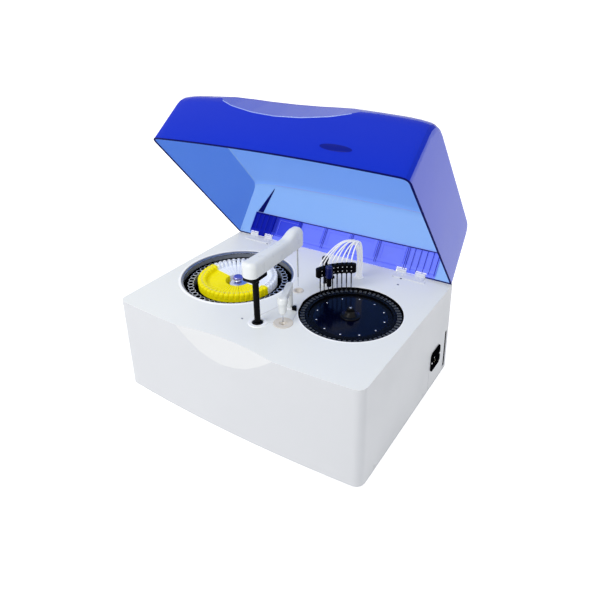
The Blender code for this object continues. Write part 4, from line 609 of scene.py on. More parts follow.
def node_copy(node: str, flatten: bool = False) -> BMesh:
    """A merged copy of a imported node's mesh.

    Args:
        node: the node's name.
        flatten: whether triangles in one plane are joined.

    Returns:
        The copy.
    """
    shape = bmesh.new()
    shape.from_mesh(frame["nodes"][node].data)
    bmesh.ops.remove_doubles(shape, verts=shape.verts, dist=WELD)
    if flatten:
        bmesh.ops.dissolve_limit(shape, angle_limit=math.radians(1), verts=shape.verts, edges=shape.edges)
    return shape


def moved(shape: BMesh, matrix: Matrix) -> BMesh:
    """The same shape, moved by a matrix."""
    bmesh.ops.transform(shape, matrix=matrix, verts=shape.verts)
    return shape


def cut(shape: BMesh, place: Iterable[float], way: Iterable[float]) -> None:
    """Cuts a shape's faces along a plane, with nothing taken away."""
    bmesh.ops.bisect_plane(shape, geom=shape.verts[:] + shape.edges[:] + shape.faces[:], plane_co=place,
                           plane_no=way)


def wall_point(wall: BMFace) -> Callable[[float, float], Vector]:
    """A function that gives the point of a wall at an x and a level."""
    normal, spot = wall.normal.copy(), wall.calc_center_median()
    return lambda x, z: Vector((x, spot.y - (normal.x * (x - spot.x) + normal.z * (z - spot.z)) / normal.y,
                                z))


def grown(shape: BMesh, faces: list[BMFace], way: Iterable[float]) -> None:
    """Extrudes faces by a vector."""
    made = bmesh.ops.extrude_face_region(shape, geom=faces)["geom"]
    bmesh.ops.translate(shape, verts=[part for part in made if isinstance(part, BMVert)], vec=way)


def spun_copies(shape: BMesh, centre: Vector, angles: Iterable[float]) -> BMesh:
    """Copies of a shape turned about an upright axis.

    Args:
        shape: the pattern, drawn as if the axis stood at the origin; it is freed.
        centre: where the axis stands.
        angles: the angle of each copy.

    Returns:
        All the copies in one shape.
    """
    pattern = bpy.data.meshes.new("pattern")
    shape.to_mesh(pattern)
    shape.free()
    whole = bmesh.new()
    for angle in angles:
        copy = pattern.copy()
        copy.transform(Matrix.Translation(centre) @ Matrix.Rotation(angle, 4, "Z"))
        whole.from_mesh(copy)
        bpy.data.meshes.remove(copy)
    bpy.data.meshes.remove(pattern)
    return whole


def around(centre: Vector, radius: float, angle: float, level: float) -> Vector:
    """A point on a circle about an upright axis."""
    return Vector((centre.x + radius * math.cos(angle), centre.y + radius * math.sin(angle), level))


@dataclass
class Piece:
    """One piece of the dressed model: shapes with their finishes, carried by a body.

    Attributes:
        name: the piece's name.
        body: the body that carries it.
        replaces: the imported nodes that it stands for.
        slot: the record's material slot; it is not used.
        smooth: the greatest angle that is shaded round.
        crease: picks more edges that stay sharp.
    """

    name: str
    body: str
    replaces: tuple[str, ...] = ()
    slot: str | None = None
    smooth: float = PLAIN_SMOOTH
    crease: Callable[[BMEdge], bool] | None = None
    whole: BMesh = field(default_factory=bmesh.new)
    finishes: list[Finish] = field(default_factory=list)

    def index_of(self, finish: Finish) -> int:
        """The material index of a finish on this piece."""
        if finish not in self.finishes:
            self.finishes.append(finish)
        return self.finishes.index(finish)

    def add(self, shape: BMesh, finish: Finish | None = None) -> "Piece":
        """Adds a shape, in one finish or with the material indices that it has.

        Args:
            shape: the shape; it is freed.
            finish: its finish, or None to keep its indices.

        Returns:
            The piece itself.
        """
        if finish is not None:
            index = self.index_of(finish)
            for face in shape.faces:
                face.material_index = index
        mesh = bpy.data.meshes.new("part")
        shape.to_mesh(mesh)
        shape.free()
        self.whole.from_mesh(mesh)
        bpy.data.meshes.remove(mesh)
        return self

    def place(self) -> bpy.types.Object:
        """Makes the object, shades it and sets it on its body.

        Returns:
            The object.
        """
        self.whole.normal_update()
        for face in self.whole.faces:
            face.smooth = True
        for edge in self.whole.edges:
            sharp = edge.calc_face_angle(math.pi) > self.smooth
            edge.smooth = not (sharp or (self.crease is not None and self.crease(edge)))
        mesh = bpy.data.meshes.new(self.name)
        for finish in self.finishes:
            mesh.materials.append(finish.material())
        self.whole.to_mesh(mesh)
        self.whole.free()
        thing = bpy.data.objects.new(self.name, mesh)
        bpy.context.scene.collection.objects.link(thing)
        even = thing.modifiers.new("even_shading", "WEIGHTED_NORMAL")
        even.keep_sharp = True
        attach(thing, self.body)
        if self.replaces:
            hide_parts(*self.replaces)
        LOG.info("%s: %d faces on %s", self.name, len(mesh.polygons), self.body)
        return thing


def dress(finish: Finish, *nodes: str) -> None:
    """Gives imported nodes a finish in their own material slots."""
    for node in nodes:
        for holder in frame["nodes"][node].material_slots:
            holder.material = finish.material()
        LOG.info("%s: dressed in %s", node, finish.name)


def copy_piece(node: str, body: str, finish: Finish, slot: str, bevel: float = 0.0) -> Piece:
    """A piece that stands for one node: its merged copy, with softened edges if asked.

    Args:
        node: the node's name.
        body: the body that carries it.
        finish: its finish.
        slot: the record's material slot.
        bevel: the width of its bevels.

    Returns:
        The piece, not yet placed.
    """
    shape = node_copy(node, flatten=bevel > 0)
    if bevel > 0:
        soften(shape, bevel, 2, least=math.radians(50))
    return Piece(node + "_skin", body, (node,), slot).add(shape, finish)


# Housing

@dataclass
class Housing:
    """The case: cover, trims round the openings, screws, feet, base pan and rear panel."""

    trim_width: float = 0.0070
    trim_height: float = 0.0012
    opening_flange: float = 0.008
    rotor_gap: float = 0.0008
    sunk: float = 0.0006
    screw_radius: float = 0.0032
    screw_height: float = 0.0012
    line_height: float = 0.0005
    line_width: float = 0.0022
    screw_stand: float = 0.0015
    reagent_axis: Vector = field(default_factory=lambda: axis_of("reagent_spin"))
    reaction_axis: Vector = field(default_factory=lambda: axis_of("reaction_spin"))

    def build(self) -> None:
        """Builds and places every piece of the case."""
        self.cover()
        self.reagent_trim()
        self.reaction_trim()
        self.deck_lines()
        self.screws()
        self.side_lines()
        self.feet()
        copy_piece("base_pan", "root", SHEET, "grey_sheet").place()
        copy_piece("rear_panel", "root", SHEET, "grey_sheet").place()
        dress(SHEET, "power_supply", "reagent_motor", "reaction_motor", "probe_drive", "mixer_drive",
              "wash_drive")
        dress(BOARD, "control_board")
        dress(ARM_WHITE, "pump_block")
        dress(BLACK, "photometer")

    def cover(self) -> None:
        """The white cover, smooth over its corners and crisp along the scoop in its front, with painted light
        on its deck and its scoop facet.
        """
        def scoop_edge(edge: BMEdge) -> bool:
            """Whether an edge bounds the scoop: a slight fold between two front faces."""
            fronts = all(face.normal.y < -0.5 and abs(face.normal.x) < 0.3 for face in edge.link_faces)
            return fronts and edge.calc_face_angle(0.0) > math.radians(4)

        cover = Piece("cover_moulding", "root", ("main_cover",), "case_white", crease=scoop_edge)
        shape = node_copy("main_cover")
        shape.normal_update()
        for face in shape.faces:
            normal = face.normal
            facet = normal.y < -0.5 and abs(normal.x) < 0.3 and 0.03 < normal.z < 0.6
            # Painted light: deck faces take a lighter copy of the white, the scoop facet a slightly lighter
            # one.
            finish = DECK_WHITE_PAINTED_LIGHT if normal.z > 0.8 else FACET_WHITE_PAINTED_LIGHT if facet else WHITE
            face.material_index = cover.index_of(finish)
        cover.add(shape).place()

    def trim(self, name: str, centre: Vector, hole: float, share: float, slope: float, radius: float) -> None:
        """A raised white ring round an opening of the deck.

        Args:
            name: the piece's name.
            centre: the opening's middle.
            hole: its radius.
            share: the ring's size as a share of the full one.
            slope: how far its outer side leans in.
            radius: the radius of its upper outer corner.
        """
        outer, rise = hole + self.trim_width * share, self.trim_height * share
        section = [(hole, -self.sunk), (outer, -self.sunk), (outer - slope, rise, radius),
                   (hole, rise, radius * 0.6)]
        Piece(name, "root", slot="case_white").add(ring(section, centre), TRIM_WHITE).place()

    def reagent_trim(self) -> None:
        """The raised white ring round the reagent opening, and the metal lip inside it."""
        centre = at_level(self.reagent_axis, DECK)
        hole = Box.of("reagent_chamber").size.x / 2 - self.opening_flange
        inner = Box.of("reagent_rotor").size.x / 2 + self.rotor_gap
        self.trim("reagent_opening_trim", centre, hole, 1.0, 0.0015, 0.002)
        step = hole - 0.0042
        grey = [(hole - 0.0003, -0.0012, 0.0004), (step, -0.0040, 0.0004), (step, -0.0065, 0.0004),
                (hole - 0.0003, -0.0065, 0.0004)]
        lip = [(step - 0.0001, -0.0036, 0.0008), (inner, -0.0036, 0.0008), (inner, -0.0066, 0.0004),
               (step - 0.0001, -0.0066, 0.0004)]
        Piece("reagent_metal_lip", "root", slot="chamber_grey").add(ring(grey, centre), DARK_STEEL).add(
            ring(lip, centre), STEEL).place()
        dress(CHAMBER, "reagent_chamber")

    def reaction_trim(self) -> None:
        """The fine black lip inside the reaction opening."""
        centre = at_level(self.reaction_axis, DECK)
        hole = Box.of("reaction_bath").size.x / 2 - self.opening_flange
        inner = Box.of("reaction_rotor").size.x / 2 + self.rotor_gap
        lip = [(hole - 0.0002, -0.0008, 0.0006), (inner, -0.0034, 0.0006), (inner, -0.0100),
               (hole - 0.0002, -0.0100)]
        Piece("reaction_opening_lip", "root", slot="black_plastic").add(ring(lip, centre), BLACK).place()
        self.trim("reaction_opening_trim", centre, hole, 0.5, 0.001, 0.001)
        dress(SOFT_BLACK, "reaction_bath")

    def deck_lines(self) -> None:
        """The low raised lines that run over the deck between the two discs."""
        gap_x = (self.reagent_axis.x + self.reaction_axis.x) / 2
        front = Box.of("probe_column").centre.y
        routes = (
            ((gap_x + 0.036, front + 0.012), (gap_x + 0.078, front + 0.052), (gap_x + 0.048, front + 0.150)),
            ((gap_x - 0.004, front + 0.020), (gap_x + 0.018, front + 0.105)),
        )
        lines = Piece("deck_lines", "root", slot="case_white")
        for route in routes:
            for start, end in zip(route, route[1:]):
                run = Vector(end) - Vector(start)
                bar = block((0.0, -self.line_width / 2, -self.line_height), (run.length, self.line_width / 2,
                                                                             self.line_height), 0.0004)
                turn = Matrix.Rotation(math.atan2(run.y, run.x), 4, "Z")
                lines.add(moved(bar, Matrix.Translation((*start, DECK)) @ turn), WHITE)
        lines.place()

    def screws(self) -> None:
        """Dark screw heads on the deck near the hinges and beside the reaction disc."""
        left, right = Box.of("hinge_bracket_left"), Box.of("hinge_bracket_right")
        front = left.low.y - 0.008
        probe = Box.of("probe_column").centre
        places = [(left.high.x - 0.020, front), (left.high.x + 0.004, front - 0.004),
                  (right.low.x + 0.002, front - 0.002), (right.low.x + 0.026, front - 0.006),
                  (Box.of("reaction_bath").centre.x + 0.041, Box.of("reaction_bath").high.y + 0.052),
                  (probe.x - 0.042, probe.y - 0.006)]
        plates = Piece("hinge_plates", "root", slot="hinge_white")
        for box in (left, right):
            plates.add(block((box.low.x - 0.002, box.low.y - 0.012, DECK),
                             (box.high.x + 0.010, box.low.y - 0.0003,
                                                                            DECK + 0.0022), 0.0009),
                                                                            HINGE_WHITE)
        plates.place()
        heads = Piece("deck_screws", "root", slot="black_plastic")
        slot = self.screw_radius / 5
        for x, y in places:
            head = turned([(0.0, self.screw_height), (self.screw_radius * 0.7, self.screw_height),
                           (self.screw_radius, 0.0)], Vector((x, y, DECK)), 16)
            heads.add(head, SHEET if x < probe.x and y < probe.y else DARK_STEEL)
            # Painted shade: a black bar stands for the shade in the screw's slot.
            heads.add(block((x - self.screw_radius * 0.6, y - slot / 2, DECK + self.screw_height - slot),
                            (x + self.screw_radius * 0.6, y + slot / 2, DECK + self.screw_height + slot / 4)),
                      SOFT_BLACK)
        heads.place()

    def side_lines(self) -> None:
        """The shadow line under the case's right wall, and the seam of the panel round the inlet."""
        cover, inlet = Box.of("main_cover"), Box.of("inlet_module")
        wall = cover.high.x - self.screw_stand
        foot = cover.low.z + self.line_height * 2
        lines = Piece("side_lines", "root", slot="grey_sheet")
        thin = self.line_height
        lines.add(block((wall - thin, cover.low.y + 0.05, foot - thin),
                        (wall + thin / 2, cover.high.y - 0.004,
                                                                         foot + thin)), DARK_STEEL)
        for y, top in ((inlet.low.y - 0.006, inlet.low.z + 0.006),
                       (inlet.high.y + 0.030, inlet.low.z - 0.012)):
            lines.add(block((wall - thin, y - thin, foot), (wall + thin / 2, y + thin, top)), SEAM)
        lines.place()

    def feet(self) -> None:
        """Four ribbed rubber feet."""
        for corner in ("front_left", "front_right", "rear_left", "rear_right"):
            node = "foot_" + corner
            box = Box.of(node)
            radius, top = box.size.x / 2, box.size.z
            profile = [(0.0, top), (radius, top), (radius, top * 0.72), (radius * 0.96, top * 0.66),
                       (radius * 0.96, top * 0.50), (radius * 0.93, top * 0.44), (radius * 0.90, top * 0.12),
                       (radius * 0.84, 0.0), (radius * 0.40, 0.0), (radius * 0.36, top * 0.14),
                       (0.0, top * 0.14)]
            Piece(node + "_rubber", "root", (node,), "foot_rubber").add(
                turned(profile, at_level(box.centre, 0.0), 40), RUBBER).place()


@dataclass
class PowerInlet:
    """The mains inlet with its switch and fuse drawer, and the louvred vent behind it."""

    pin_size: tuple[float, float, float] = (0.0110, 0.0023, 0.0043)
    pin_spacing: float = 0.0070
    pin_drop: float = 0.0120
    pin_setback: float = 0.0035
    screw_radius: float = 0.0026
    mark_length: float = 0.0040

    def build(self) -> None:
        """Builds and places the inlet's pieces."""
        box = Box.of("inlet_module")
        inlet = Piece("inlet_moulding", "root", ("inlet_module",), "black_plastic").add(
            node_copy("inlet_module"), SOFT_BLACK)
        face = box.high.x
        level = box.centre.z - self.pin_drop
        depth, width, height = self.pin_size
        for index in (-1, 0, 1):
            y = box.centre.y + index * self.pin_spacing
            far = face - self.pin_setback
            inlet.add(block((far - depth, y - width / 2, level - height / 2),
                            (far, y + width / 2, level + height / 2), width / 5), PIN)
        for side in (-1, 1):
            y = box.centre.y + side * (box.size.y / 2 - 0.0042)
            inlet.add(rod(self.screw_radius, (face - 0.0006, y, box.centre.z),
                          (face + 0.0009, y, box.centre.z),
                          16, self.screw_radius * 0.7), STEEL)
        inlet.place()
        self.rocker()
        copy_piece("fuse_drawer", "fuse_drawer", SOFT_BLACK, "black_plastic", 0.0005).place()
        copy_piece("side_vent", "root", SOFT_BLACK, "black_plastic").place()

    def rocker(self) -> None:
        """The rocker with a bar as its mark."""
        box = Box.of("power_rocker")
        rocker = Piece("power_rocker_skin", "power_rocker", ("power_rocker",), "black_plastic").add(
            node_copy("power_rocker", flatten=True), SOFT_BLACK)
        half = self.mark_length / 2
        y = box.low.y + 0.0048
        x = box.high.x - 0.0007
        rocker.add(block((x - 0.0010, y - 0.0004, box.centre.z - half), (x + 0.0001, y + 0.0004,
                                                                         box.centre.z + half)), TRIM_WHITE)
        rocker.place()


@dataclass
class RearFace:
    """What stands on the rear panel: fan, guard and hose barbs."""

    guard_wire: float = 0.0009
    guard_rings: int = 4
    barb_rings: int = 3
    barb_radius: float = 0.0060
    barb_spacing: float = 0.030
    barb_pitch: float = 0.0032

    def build(self) -> None:
        """Builds and places the pieces behind."""
        copy_piece("fan_frame", "root", BLACK, "black_plastic").place()
        copy_piece("fan_rotor", "fan_rotor", BLACK, "black_plastic").place()
        self.guard()
        self.barbs()

    def guard(self) -> None:
        """The wire guard over the fan's window."""
        fan = Box.of("fan_frame")
        level = Box.of("rear_panel").high.y + self.guard_wire
        reach = fan.size.x / 2 - 0.001
        guard = Piece("fan_guard", "root", slot="steel")
        for index in range(self.guard_rings):
            radius = reach * (index + 1) / self.guard_rings
            loop = [Vector((fan.centre.x + radius * math.cos(turn), level,
                            fan.centre.z + radius * math.sin(turn)))
                    for turn in (math.tau * step / 48 for step in range(48))]
            guard.add(piped(loop, self.guard_wire, closed=True), STEEL)
        for turn in (math.pi / 4 + math.pi / 2 * step for step in range(4)):
            away = Vector((math.cos(turn), 0.0, math.sin(turn)))
            start = Vector((fan.centre.x, level + self.guard_wire * 1.5, fan.centre.z))
            guard.add(rod(self.guard_wire, start + away * reach / 5, start + away * (reach + 0.003), 10),
                      STEEL)
        guard.place()

    def barbs(self) -> None:
        """The hose barbs, each with its ribs and a hexagon at its root."""
        box = Box.of("fluid_fittings")
        rear = Box.of("rear_panel").high.y
        barbs = Piece("hose_barbs", "root", ("fluid_fittings",), "steel").add(node_copy("fluid_fittings"),
                                                                              STEEL)
        radius = self.barb_radius
        for index in (-1, 0, 1):
            x = box.centre.x + index * self.barb_spacing
            barbs.add(rod(radius * 1.15, (x, rear + 0.0002, box.centre.z), (x, rear + 0.0034, box.centre.z),
                          6), STEEL)
            for step in range(self.barb_rings):
                y = rear + 0.0075 + step * self.barb_pitch
                barbs.add(rod(radius * 0.74, (x, y, box.centre.z), (x, y + 0.0026, box.centre.z), 20,
                              radius * 0.58), STEEL)
        barbs.place()


# Lid

class LidFace(Enum):
    """The parts of the lid's skin, with their painted-light finishes outside and inside."""

    RIM = (LID_RIM, LID_RIM)
    FRONT = (LID_FRONT, LID_INSIDE)
    SIDE = (LID_SIDE, LID_INSIDE_SIDE)
    REAR = (LID_REAR, LID_INSIDE_REAR)
    TOP = (LID_TOP_SKIN, LID_INSIDE)


@dataclass
class Lid:
    """The translucent blue lid with its hinge rail and hinges."""

    # bead: the radius of the painted highlight along the scoop.
    bead: float = 0.0011
    rim_bead: float = 0.0013
    edge_highlight_bead: float = 0.0011
    shade_wedge_rise: float = 0.0015
    shade_wedge_width: float = 0.0220
    panel_reach: float = 0.285
    rim_rise: float = 0.0009
    rim_height: float = 0.004
    heart_setback: float = 0.25
    heart_rise: float = 0.06
    scoop_half: float = 0.190
    scoop_centre: float = -0.015
    panels: int = 7
    painted_shade_shares: tuple[float, float] = (0.93, 2.0)
    end_ribs: int = 5
    rib_spacing: float = 0.0050
    rib_radius: float = 0.0009
    frame_inset: float = 0.0110
    frame_radius: float = 0.0007
    mark_size: tuple[float, float] = (0.080, 0.019)
    mark_place: tuple[float, float] = (0.169, 0.042)
    axis: Vector = field(default_factory=lambda: axis_of("lid_hinge"))
    opening: float = math.radians(49.3)

    def closing(self) -> Matrix:
        """The turn that shuts the lid."""
        return Matrix.Translation(self.axis) @ Matrix.Rotation(self.opening, 4,
                                                               "X") @ Matrix.Translation(-self.axis)

    def build(self) -> None:
        """Builds and places the lid's pieces."""
        self.shell()
        self.rail()
        for side in ("left", "right"):
            copy_piece("hinge_bracket_" + side, "root", HINGE_WHITE, "hinge_white", 0.0006).place()
            dress(STEEL, "hinge_pin_" + side)

    def face_kind(self, normal: Vector, height: float) -> LidFace:
        """Which part of the lid a face belongs to.

        Args:
            normal: the face's outward or inward normal with the lid shut.
            height: its height above the rim.

        Returns:
            The part.
        """
        if abs(normal.z) > 0.9 and height < self.rim_height:
            return LidFace.RIM
        if abs(normal.x) > 0.80:
            return LidFace.SIDE
        if abs(normal.z) > (0.5 if normal.y < 0 else 0.7):
            return LidFace.TOP
        return LidFace.FRONT if normal.y < 0 else LidFace.REAR

    def shell(self) -> None:
        """The lid's skins in painted-light colours, a painted highlight along its scoop and along its rear
        panel's top edge, a painted shade wedge on its rear wall, and the dark oval on its front wall.
        """
        shape = node_copy("lid_shell")
        shut = self.closing()
        bmesh.ops.transform(shape, matrix=shut, verts=shape.verts)
        shape.normal_update()
        low = min(vert.co.z for vert in shape.verts)
        heart = Vector((self.axis.x, self.axis.y - self.heart_setback, low + self.heart_rise))
        rail_low, rail_high = self.shut_rail()
        for place, way in ((rail_low, (1, 0, 0)), (rail_high, (1, 0, 0)), (rail_high, (0, 0, 1))):
            cut(shape, place, way)
        lid = Piece("lid_skin", "lid", ("lid_shell",), "lid_blue", smooth=SHELL_SMOOTH)
        for face in shape.faces:
            centre = face.calc_center_median()
            outward = (centre - heart).dot(face.normal) > 0
            normal = face.normal if outward else -face.normal
            kind = self.face_kind(normal, centre.z - low)
            # Painted light: each face takes its kind's painted colour, outside or inside.
            face.material_index = lid.index_of(kind.value[0] if outward else kind.value[1])
            behind = centre.y > rail_low.y and centre.z < rail_high.z and rail_low.x < centre.x < rail_high.x
            if behind and not (outward and kind is LidFace.REAR):
                face.material_index = lid.index_of(RAIL)
        inner, panel = lid.index_of(LID_INSIDE), lid.index_of(LID_INSIDE_REAR)
        edge_highlight = self.border(shape, inner, panel, self.panel_reach)
        scoop_highlight = self.scoop_line(shape)
        rim = self.rim_line(shape, low)
        mark = self.front_mark(shape, low)
        back = shut.inverted()
        trims = Piece("lid_trims", "lid", slot="lid_blue")
        # Painted highlights along the scoop's edge and the rear panel's top edge.
        if len(scoop_highlight) > 2:
            trims.add(moved(piped(scoop_highlight, self.bead), back), LID_PAINTED_HIGHLIGHT)
        trims.add(moved(piped(edge_highlight, self.edge_highlight_bead), back), LID_PAINTED_HIGHLIGHT)
        rear = max((face for face in shape.faces if face.material_index == panel),
                   key=lambda face: face.calc_area())
        # Painted shade: a thin dark wedge on the rear wall's inside, in the rim's dark finish.
        trims.add(moved(self.shade_wedge(rear, edge_highlight[0], rail_low, rail_high), back), LID_RIM)
        trims.add(moved(mark, back), LID_MARK)
        trims.add(moved(piped(rim, self.rim_bead, closed=True), back), LID_RIM)
        trims.place()
        bmesh.ops.transform(shape, matrix=back, verts=shape.verts)
        lid.add(shape).place()

    def shut_rail(self) -> tuple[Vector, Vector]:
        """The rail's box with the lid shut.

        Returns:
            Its low and its high corner.
        """
        shape = moved(node_copy("lid_hinge_rail"), self.closing())
        spots = [vert.co.copy() for vert in shape.verts]
        shape.free()
        return tuple(Vector(pick(spot[axis] for spot in spots) for axis in range(3)) for pick in (min, max))

    def shade_wedge(self, rear: BMFace, corner: Vector, rail_low: Vector, rail_high: Vector) -> BMesh:
        """Painted shade: a thin dark wedge on the rear wall's inside, from the panel's top corner down to the
        rail's end.

        Args:
            rear: the rear wall's inner face, with the lid shut.
            corner: the panel's top left corner.
            rail_low: the low corner of the rail's box.
            rail_high: the high corner of the rail's box.

        Returns:
            A thin wedge that stands on the wall.
        """
        on_wall = wall_point(rear)
        foot = rail_high.z + self.shade_wedge_rise
        outline = [on_wall(corner.x, corner.z - self.shade_wedge_rise), on_wall(rail_low.x + self.shade_wedge_rise, foot),
                   on_wall(rail_low.x + self.shade_wedge_width, foot)]
        wedge = bmesh.new()
        face = wedge.faces.new([wedge.verts.new(point) for point in outline])
        grown(wedge, [face], (0.0, -self.rim_bead, 0.0))
        bmesh.ops.recalc_face_normals(wedge, faces=wedge.faces)
        return wedge

    def border(self, shape: BMesh, first: int, second: int, reach: float) -> list[Vector]:
        """Where two finishes meet, from left to right.

        Args:
            shape: the shell, shut.
            first: one material index.
            second: the other material index.
            reach: how far from the middle the line may go.

        Returns:
            The line's points.
        """
        found: dict[float, Vector] = {}
        for edge in shape.edges:
            if {face.material_index for face in edge.link_faces} != {first, second}:
                continue
            for vert in edge.verts:
                key = round(vert.co.x, 3)
                if abs(vert.co.x - self.axis.x) < reach and (key not in found or found[key].z < vert.co.z):
                    found[key] = vert.co.copy()
        return [found[key] for key in sorted(found)]

    def rim_line(self, shape: BMesh, low: float) -> list[Vector]:
        """The outer edge of the rim, just above its foot, with the lid shut.

        Args:
            shape: the shell, shut.
            low: the level of its rim.

        Returns:
            The line's points.
        """
        def on_rim(face: BMFace) -> bool:
            """Whether a face is part of the rim."""
            return face.normal.z < -0.9 and face.calc_center_median().z - low < self.rim_rise * 2

        ahead: dict[BMEdge, None] = {edge: None for edge in shape.edges
                                     if sum(on_rim(face) for face in edge.link_faces) == 1}
        routes: list[list[Vector]] = []
        while ahead:
            edge = next(iter(ahead))
            vert = edge.verts[0]
            route: list[Vector] = []
            while edge is not None:
                del ahead[edge]
                vert = edge.other_vert(vert)
                route.append(at_level(vert.co, low + self.rim_rise))
                edge = next((near for near in vert.link_edges if near in ahead), None)
            routes.append(route)
        return max(routes, key=lambda route: max(spot.x for spot in route) - min(spot.x for spot in route))

    def scoop_line(self, shape: BMesh) -> list[Vector]:
        """The line where the scoop meets the front wall, from left to right, with the lid shut.

        Args:
            shape: the shell, shut.

        Returns:
            The line's points.
        """
        found: dict[float, Vector] = {}
        for edge in shape.edges:
            if len(edge.link_faces) != 2 or edge.calc_face_angle(0.0) < math.radians(8):
                continue
            if not all(face.normal.y < -0.2 and face.normal.z > -0.1 for face in edge.link_faces):
                continue
            middle = self.axis.x + self.scoop_centre
            if any(abs(vert.co.x - middle) > self.scoop_half for vert in edge.verts):
                continue
            kinds = sorted(face.normal.z for face in edge.link_faces)
            if kinds[0] < 0.2 and kinds[1] > 0.2:
                for vert in edge.verts:
                    found[round(vert.co.x, 5)] = vert.co.copy()
        return [found[key] for key in sorted(found)]

    def front_mark(self, shape: BMesh, low: float) -> BMesh:
        """A plain dark oval that lies on the front wall, with the lid shut.

        Args:
            shape: the shell, shut.
            low: the level of its rim.

        Returns:
            The oval, on the shut lid.
        """
        width, height = self.mark_size
        x, rise = self.mark_place
        wanted = Vector((x, 0.0, low + rise))
        middle = sum((vert.co.y for vert in shape.verts), 0.0) / len(shape.verts)
        fronts = [face for face in shape.faces
                  if face.normal.y < -0.9 and face.calc_center_median().y < middle]

        def miss(face: BMFace) -> float:
            """How far a face's middle lies from the oval's place, seen from the front."""
            away = face.calc_center_median() - wanted
            return math.hypot(away.x, away.z)

        front = min(fronts, key=miss)
        gap = (front.calc_center_median() - wanted).dot(front.normal) / front.normal.y
        place = wanted + Vector((0.0, gap, 0.0))
        oval = turned([(0.0, 0.0006), (0.42, 0.0005), (0.5, -0.0004)], Vector(), 48)
        bmesh.ops.transform(oval, matrix=Matrix.Diagonal((width, height, 1.0, 1.0)), verts=oval.verts)
        return moved(oval, Matrix.Translation(place) @ front.normal.to_track_quat("Z",
                                                                                  "Y").to_matrix().to_4x4())

    def rail(self) -> None:
        """The hinge rail: framed panels between double ribs, close ribs at both ends, painted shade at its
        left end, a painted glow, and a painted highlight along its top.
        """
        shut = self.closing()
        shape = moved(node_copy("lid_hinge_rail"), shut)
        shape.normal_update()
        low, high = self.shut_rail()
        front = max((face for face in shape.faces if face.normal.y < -0.7), key=lambda face: face.calc_area())
        on_face = wall_point(front)
        back = shut.inverted()
        rail = Piece("hinge_rail_skin", "lid", ("lid_hinge_rail",), "rail_blue", smooth=SHELL_SMOOTH)
        splits = [low.x + (high.x - low.x) / self.panels * share for share in self.painted_shade_shares]
        for split in splits:
            cut(shape, (split, 0.0, 0.0), (1.0, 0.0, 0.0))
        # Painted shade: faces left of the first split take the rail's painted shade, those up to the second
        # its painted half shade.
        for face in shape.faces:
            x = face.calc_center_median().x
            finish = RAIL_PAINTED_SHADE if x < splits[0] else RAIL_PAINTED_HALF_SHADE if x < splits[1] else RAIL
            face.material_index = rail.index_of(finish)
        rail.add(moved(shape, back))

        def line(start: Vector, end: Vector, radius: float, finish: Finish) -> None:
            """Adds a fine bead along the rail's face."""
            rail.add(moved(piped([start, end], radius, 1), back), finish)

        width = (high.x - low.x) / self.panels
        foot, top = low.z + 0.004, high.z - 0.003
        for index in range(self.panels + 1):
            for side in (-0.5, 0.5):
                x = min(max(low.x + index * width + side * self.rib_spacing, low.x + 0.002), high.x - 0.002)
                line(on_face(x, foot), on_face(x, top), self.rib_radius, RAIL_RIB)
        for index in range(1, self.panels - 1):
            left = low.x + index * width + self.frame_inset
            right = left + width - self.frame_inset * 2
            under, over = foot + self.frame_inset * 0.6, top - self.frame_inset * 0.8
            corners = [on_face(left, under), on_face(right, under), on_face(right, over), on_face(left, over)]
            rail.add(moved(piped(corners, self.frame_radius, 1, True), back), RAIL_EDGE)
        for start in (low.x, high.x - width):
            for step in range(1, self.end_ribs):
                x = start + width * step / self.end_ribs
                line(on_face(x, foot), on_face(x, top), self.rib_radius, RAIL_RIB)
        line(on_face(low.x + 0.001, top), on_face(high.x - 0.001, top), self.rim_bead, LID_RIM)
        # A painted highlight along the rail's top edge.
        line(on_face(low.x + 0.001, high.z - 0.0006), on_face(high.x - 0.001, high.z - 0.0006),
             self.frame_radius, LID_PAINTED_HIGHLIGHT)
        rail.place()


# Reagent disc

